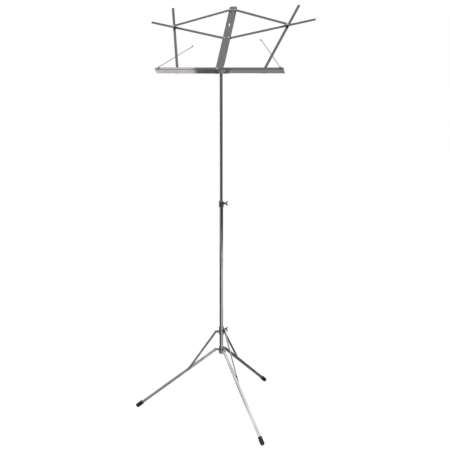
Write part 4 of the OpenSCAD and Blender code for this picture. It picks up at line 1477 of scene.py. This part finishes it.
class MUSICSTAND_OT_page_wires(bpy.types.Operator):
    """Bends the page holder wires: an eye round the post, a straight run and a curled tip"""
    bl_idname = "music_stand.page_wires"
    bl_label = "Page wires"

    def execute(self, context):
        desk = context.scene.music_stand_desk
        look = finishes()
        r = desk.wire / MM / 2
        eye, tip = 3.2 * r, 1.9 * r
        rise = 0.02  # lets the two ends of the eye pass each other
        bend_end = eye + 8
        for side in SIDES:
            pin = local(joint_at(f"{side}_page_wire_turn"), DESK)
            at_pin = DESK @ Matrix.Translation(pin * MM)
            points = [at_pin.inverted() @ v.co / MM for v in frame["nodes"][f"wire_{side}"].data.vertices]
            far = max(points, key=lambda p: p.xy.length)
            run = at_pin @ Matrix.Rotation(atan2(far.y, far.x), 4, "Z")
            straight_end = far.xy.length - 1.6 * r - tip
            turns = [radians(a) for a in range(350, -1, -14)]
            route = [(eye * cos(a), eye * sin(a) - rise * i / len(turns), 0) for i, a in enumerate(turns)]
            route += [(eye + 3, 0.25, 0), (bend_end, 0, 0)]
            route += [(bend_end + (straight_end - bend_end) * t, 0, 0) for t in (0.25, 0.5, 0.75, 1.0)]
            curl = [radians(a) for a in range(24, 265, 24)]
            route += [(straight_end + tip * sin(a), tip * (1 - cos(a)), 0) for a in curl]
            mesh = bpy.data.meshes.new(f"page_wire_{side}")
            mesh.from_pydata([run @ (Vector(p) * MM) for p in route],
                             [(i, i + 1) for i in range(len(route) - 1)], [])
            wire = new_object(f"bent_wire_{side}", mesh)
            run_tree(wire, wire_tree(), Wire_Radius=r * MM, Sides=16, Material=look["wire_steel"])
            dress(wire, f"{side}_page_wire", look["wire_steel"], "wire_steel", f"wire_{side}")
        return {"FINISHED"}


# ---- stage ----

def mirrored_or_seen(tree, x, y):
    """1 where the camera, a reflection or a view through glass looks, and 0 for light and shadow."""
    rays = add_node(tree, "ShaderNodeLightPath", x, y).outputs
    seen = math_node(tree, "MAXIMUM", x + 200, y, rays["Is Camera Ray"], rays["Is Glossy Ray"])
    return math_node(tree, "MAXIMUM", x + 400, y, seen, rays["Is Transmission Ray"])


def blend_surface(tree, kind, share, plain, bright):
    """Ends a tree in a mix of two shaders."""
    out = next(n for n in tree.nodes if n.type == kind)
    both = add_node(tree, "ShaderNodeMixShader", 200, 0)
    for socket, value in zip(both.inputs, (share, plain.outputs[0], bright.outputs[0])):
        tree.links.new(value, socket)
    tree.links.new(both.outputs[0], out.inputs["Surface"])


def floor_material(colour):
    """Pale floor that keeps its shadows and shows as a white ground in the picture and in reflections."""
    white_strength, white_share = 1.1, 0.8
    material, tree, shader = new_material("studio_floor")
    place = object_place(tree, -900, 0)
    paler = tuple(min(1.0, c * 1.02) for c in colour)
    tree.links.new(mix_colour(tree, -300, 100, noise(tree, -600, 100, place, 3.0), tuple(colour), paler),
                   shader.inputs["Base Color"])
    shader.inputs["Roughness"].default_value = 0.9
    shader.inputs["Specular IOR Level"].default_value = 0.1
    glow = add_node(tree, "ShaderNodeEmission", -100, -300)
    glow.inputs["Color"].default_value = (1, 1, 1, 1)
    glow.inputs["Strength"].default_value = white_strength
    share = math_node(tree, "MULTIPLY", -100, -500, mirrored_or_seen(tree, -700, -500), white_share)
    blend_surface(tree, "OUTPUT_MATERIAL", share, shader, glow)
    return material


def card_material(name, shade):
    """Matt card of one grey that only shows in reflections."""
    material, _, shader = new_material(name)
    shader.inputs["Base Color"].default_value = (shade, shade, shade * 1.04, 1)  # a little bluish
    shader.inputs["Roughness"].default_value = 1.0
    shader.inputs["Specular IOR Level"].default_value = 0.0
    return material


def stage_sheet(name, corners, faces, material):
    """A flat sheet or screen of the studio."""
    mesh = bpy.data.meshes.new(name)
    mesh.from_pydata(corners, [], faces)
    obj = new_object(name, mesh)
    mesh.materials.append(material)
    return obj


def lamp(name, place, aim, size, power):
    """A soft square lamp that points at its aim."""
    light = bpy.data.lights.new(name, "AREA")
    light.shape = "RECTANGLE"
    light.size, light.size_y = size
    light.energy = power
    obj = new_object(name, light)
    obj.location = place
    obj.rotation_euler = (Vector(aim) - Vector(place)).to_track_quat("-Z", "Y").to_euler()


class MUSICSTAND_OT_stage(bpy.types.Operator):
    """Sets the camera, the pale floor, the lamps and the surrounding light"""
    bl_idname = "music_stand.stage"
    bl_label = "Stage"

    def cards(self, azimuth):
        """Name, shade and mesh of the grey cards round the stand, which its bright plating mirrors."""
        def ring(r, degrees, z):
            turn = azimuth + radians(degrees)
            return (r * cos(turn), r * sin(turn), z)

        def patch(x0, y0, x1, y1, z):
            return [(x0, y0, z), (x1, y0, z), (x1, y1, z), (x0, y1, z)]

        def fan(r0, r1, end, step, z):
            """A piece of a flat ring on the camera's side, from -115 degrees on."""
            return ([ring(r0, d, z) for d in range(-115, end + 1, step)]
                    + [ring(r1, d, z) for d in range(end, -116, -step)])

        screen_r, steps = 2.6, 12
        walls = [(i, i + 1, i + steps + 2, i + steps + 1) for i in range(steps)]
        # name, shade, first and last direction from the camera's, lower and upper edge
        for name, shade, start, end, low, high in (("dark_screen", 0.07, -50, 150, 0.002, 0.8),
                                                   ("grey_screen", 0.12, -180, 180, 0.8, 1.1),
                                                   ("pale_screen", 0.45, -180, 180, 1.1, 2.0)):
            corners = [ring(screen_r, start + (end - start) * i / steps, z)
                       for z in (low, high) for i in range(steps + 1)]
            yield name, shade, corners, walls
        for name, shade, corners in (
                ("far_floor_card", 0.12, fan(0.55, 2.55, -5, 22, 0.004)),
                ("near_floor_card", 0.35, fan(0.1, 0.55, -25, 15, 0.005)),
                ("back_floor_card", 0.14, patch(0.06, 0.1, 0.36, 0.5, 0.005)),
                ("dark_floor_card", 0.05, patch(0.36, 0.12, 1.0, 1.0, 0.004)),
                ("ledge_dark_card", 0.2, patch(-0.575, 0.2, -0.44, 0.7, 0.006)),
                ("ledge_grey_card", 0.5, patch(-0.44, 0.2, 0.0, 0.7, 0.006))):
            yield name, shade, corners, [tuple(range(len(corners)))]

    def execute(self, context):
        scene = context.scene
        stage = scene.music_stand_stage
        scene.view_settings.view_transform = "Standard"
        data = bpy.data.cameras.new("camera")
        data.sensor_width = 36
        data.lens = stage.lens
        data.shift_y = stage.shift
        camera = new_object("camera", data)
        a = stage.azimuth
        camera.location = (stage.distance * cos(a), stage.distance * sin(a), stage.height)
        camera.rotation_euler = (pi / 2 - stage.pitch, 0, a + pi + stage.turn - pi / 2)
        scene.camera = camera

        side = 9
        corners = [(-side, -side, 0), (side, -side, 0), (side, side, 0), (-side, side, 0)]
        stage_sheet("floor", corners, [(0, 1, 2, 3)], floor_material(stage.floor_colour))
        for name, shade, corners, faces in self.cards(a):
            card = stage_sheet(name, corners, faces, card_material(name, shade))
            card.visible_camera = False
            card.visible_diffuse = False
            card.visible_shadow = False

        middle = (0, 0, 0.8)
        lamp("key_lamp", (2.2, -1.6, 2.8), middle, (1.6, 1.6), stage.key)
        lamp("fill_lamp", (-2.4, -1.2, 2.2), middle, (1.8, 1.8), stage.fill)
        world = bpy.data.worlds.new("studio_room")
        scene.world = world
        world.use_nodes = True
        tree = world.node_tree
        ground = next(n for n in tree.nodes if n.type == "BACKGROUND")
        white = add_node(tree, "ShaderNodeBackground", -200, -200)
        for node, strength in ((ground, stage.room), (white, 1.0)):
            node.inputs["Strength"].default_value = strength
            node.inputs["Color"].default_value = (1, 1, 1, 1)
        blend_surface(tree, "OUTPUT_WORLD", mirrored_or_seen(tree, -600, 200), ground, white)
        return {"FINISHED"}


OPERATORS = (MUSICSTAND_OT_tubes, MUSICSTAND_OT_hub, MUSICSTAND_OT_legs, MUSICSTAND_OT_boots,
             MUSICSTAND_OT_collars, MUSICSTAND_OT_braces, MUSICSTAND_OT_screws, MUSICSTAND_OT_tilt_joint,
             MUSICSTAND_OT_spine, MUSICSTAND_OT_arms, MUSICSTAND_OT_ledge, MUSICSTAND_OT_rivets,
             MUSICSTAND_OT_page_wires, MUSICSTAND_OT_stage)
SETTINGS = {"music_stand_base": MusicStandBase, "music_stand_tubes": MusicStandTubes,
            "music_stand_desk": MusicStandDesk, "music_stand_finish": MusicStandFinish,
            "music_stand_stage": MusicStandStage}


class MUSICSTAND_PT_panel(bpy.types.Panel):
    """Sidebar panel with the steps and the settings of the music stand"""
    bl_label = "Music Stand"
    bl_idname = "MUSICSTAND_PT_panel"
    bl_space_type = "VIEW_3D"
    bl_region_type = "UI"
    bl_category = "Music Stand"

    def draw(self, context):
        for operator in OPERATORS:
            self.layout.operator(operator.bl_idname)
        for name, group in SETTINGS.items():
            box = self.layout.box()
            box.label(text=group.__doc__)
            for label in group.__annotations__:
                box.prop(getattr(context.scene, name), label)


def register():
    for cls in (*SETTINGS.values(), *OPERATORS, MUSICSTAND_PT_panel):
        bpy.utils.register_class(cls)
    for name, group in SETTINGS.items():
        setattr(bpy.types.Scene, name, PointerProperty(type=group))


def unregister():
    for name in SETTINGS:
        delattr(bpy.types.Scene, name)
    for cls in reversed((*SETTINGS.values(), *OPERATORS, MUSICSTAND_PT_panel)):
        bpy.utils.unregister_class(cls)


def main():
    """Registers the add-on and builds the pieces in order."""
    register()
    for operator in OPERATORS:
        group, step = operator.bl_idname.split(".")
        getattr(getattr(bpy.ops, group), step)()


if __name__ == "__main__":
    main()
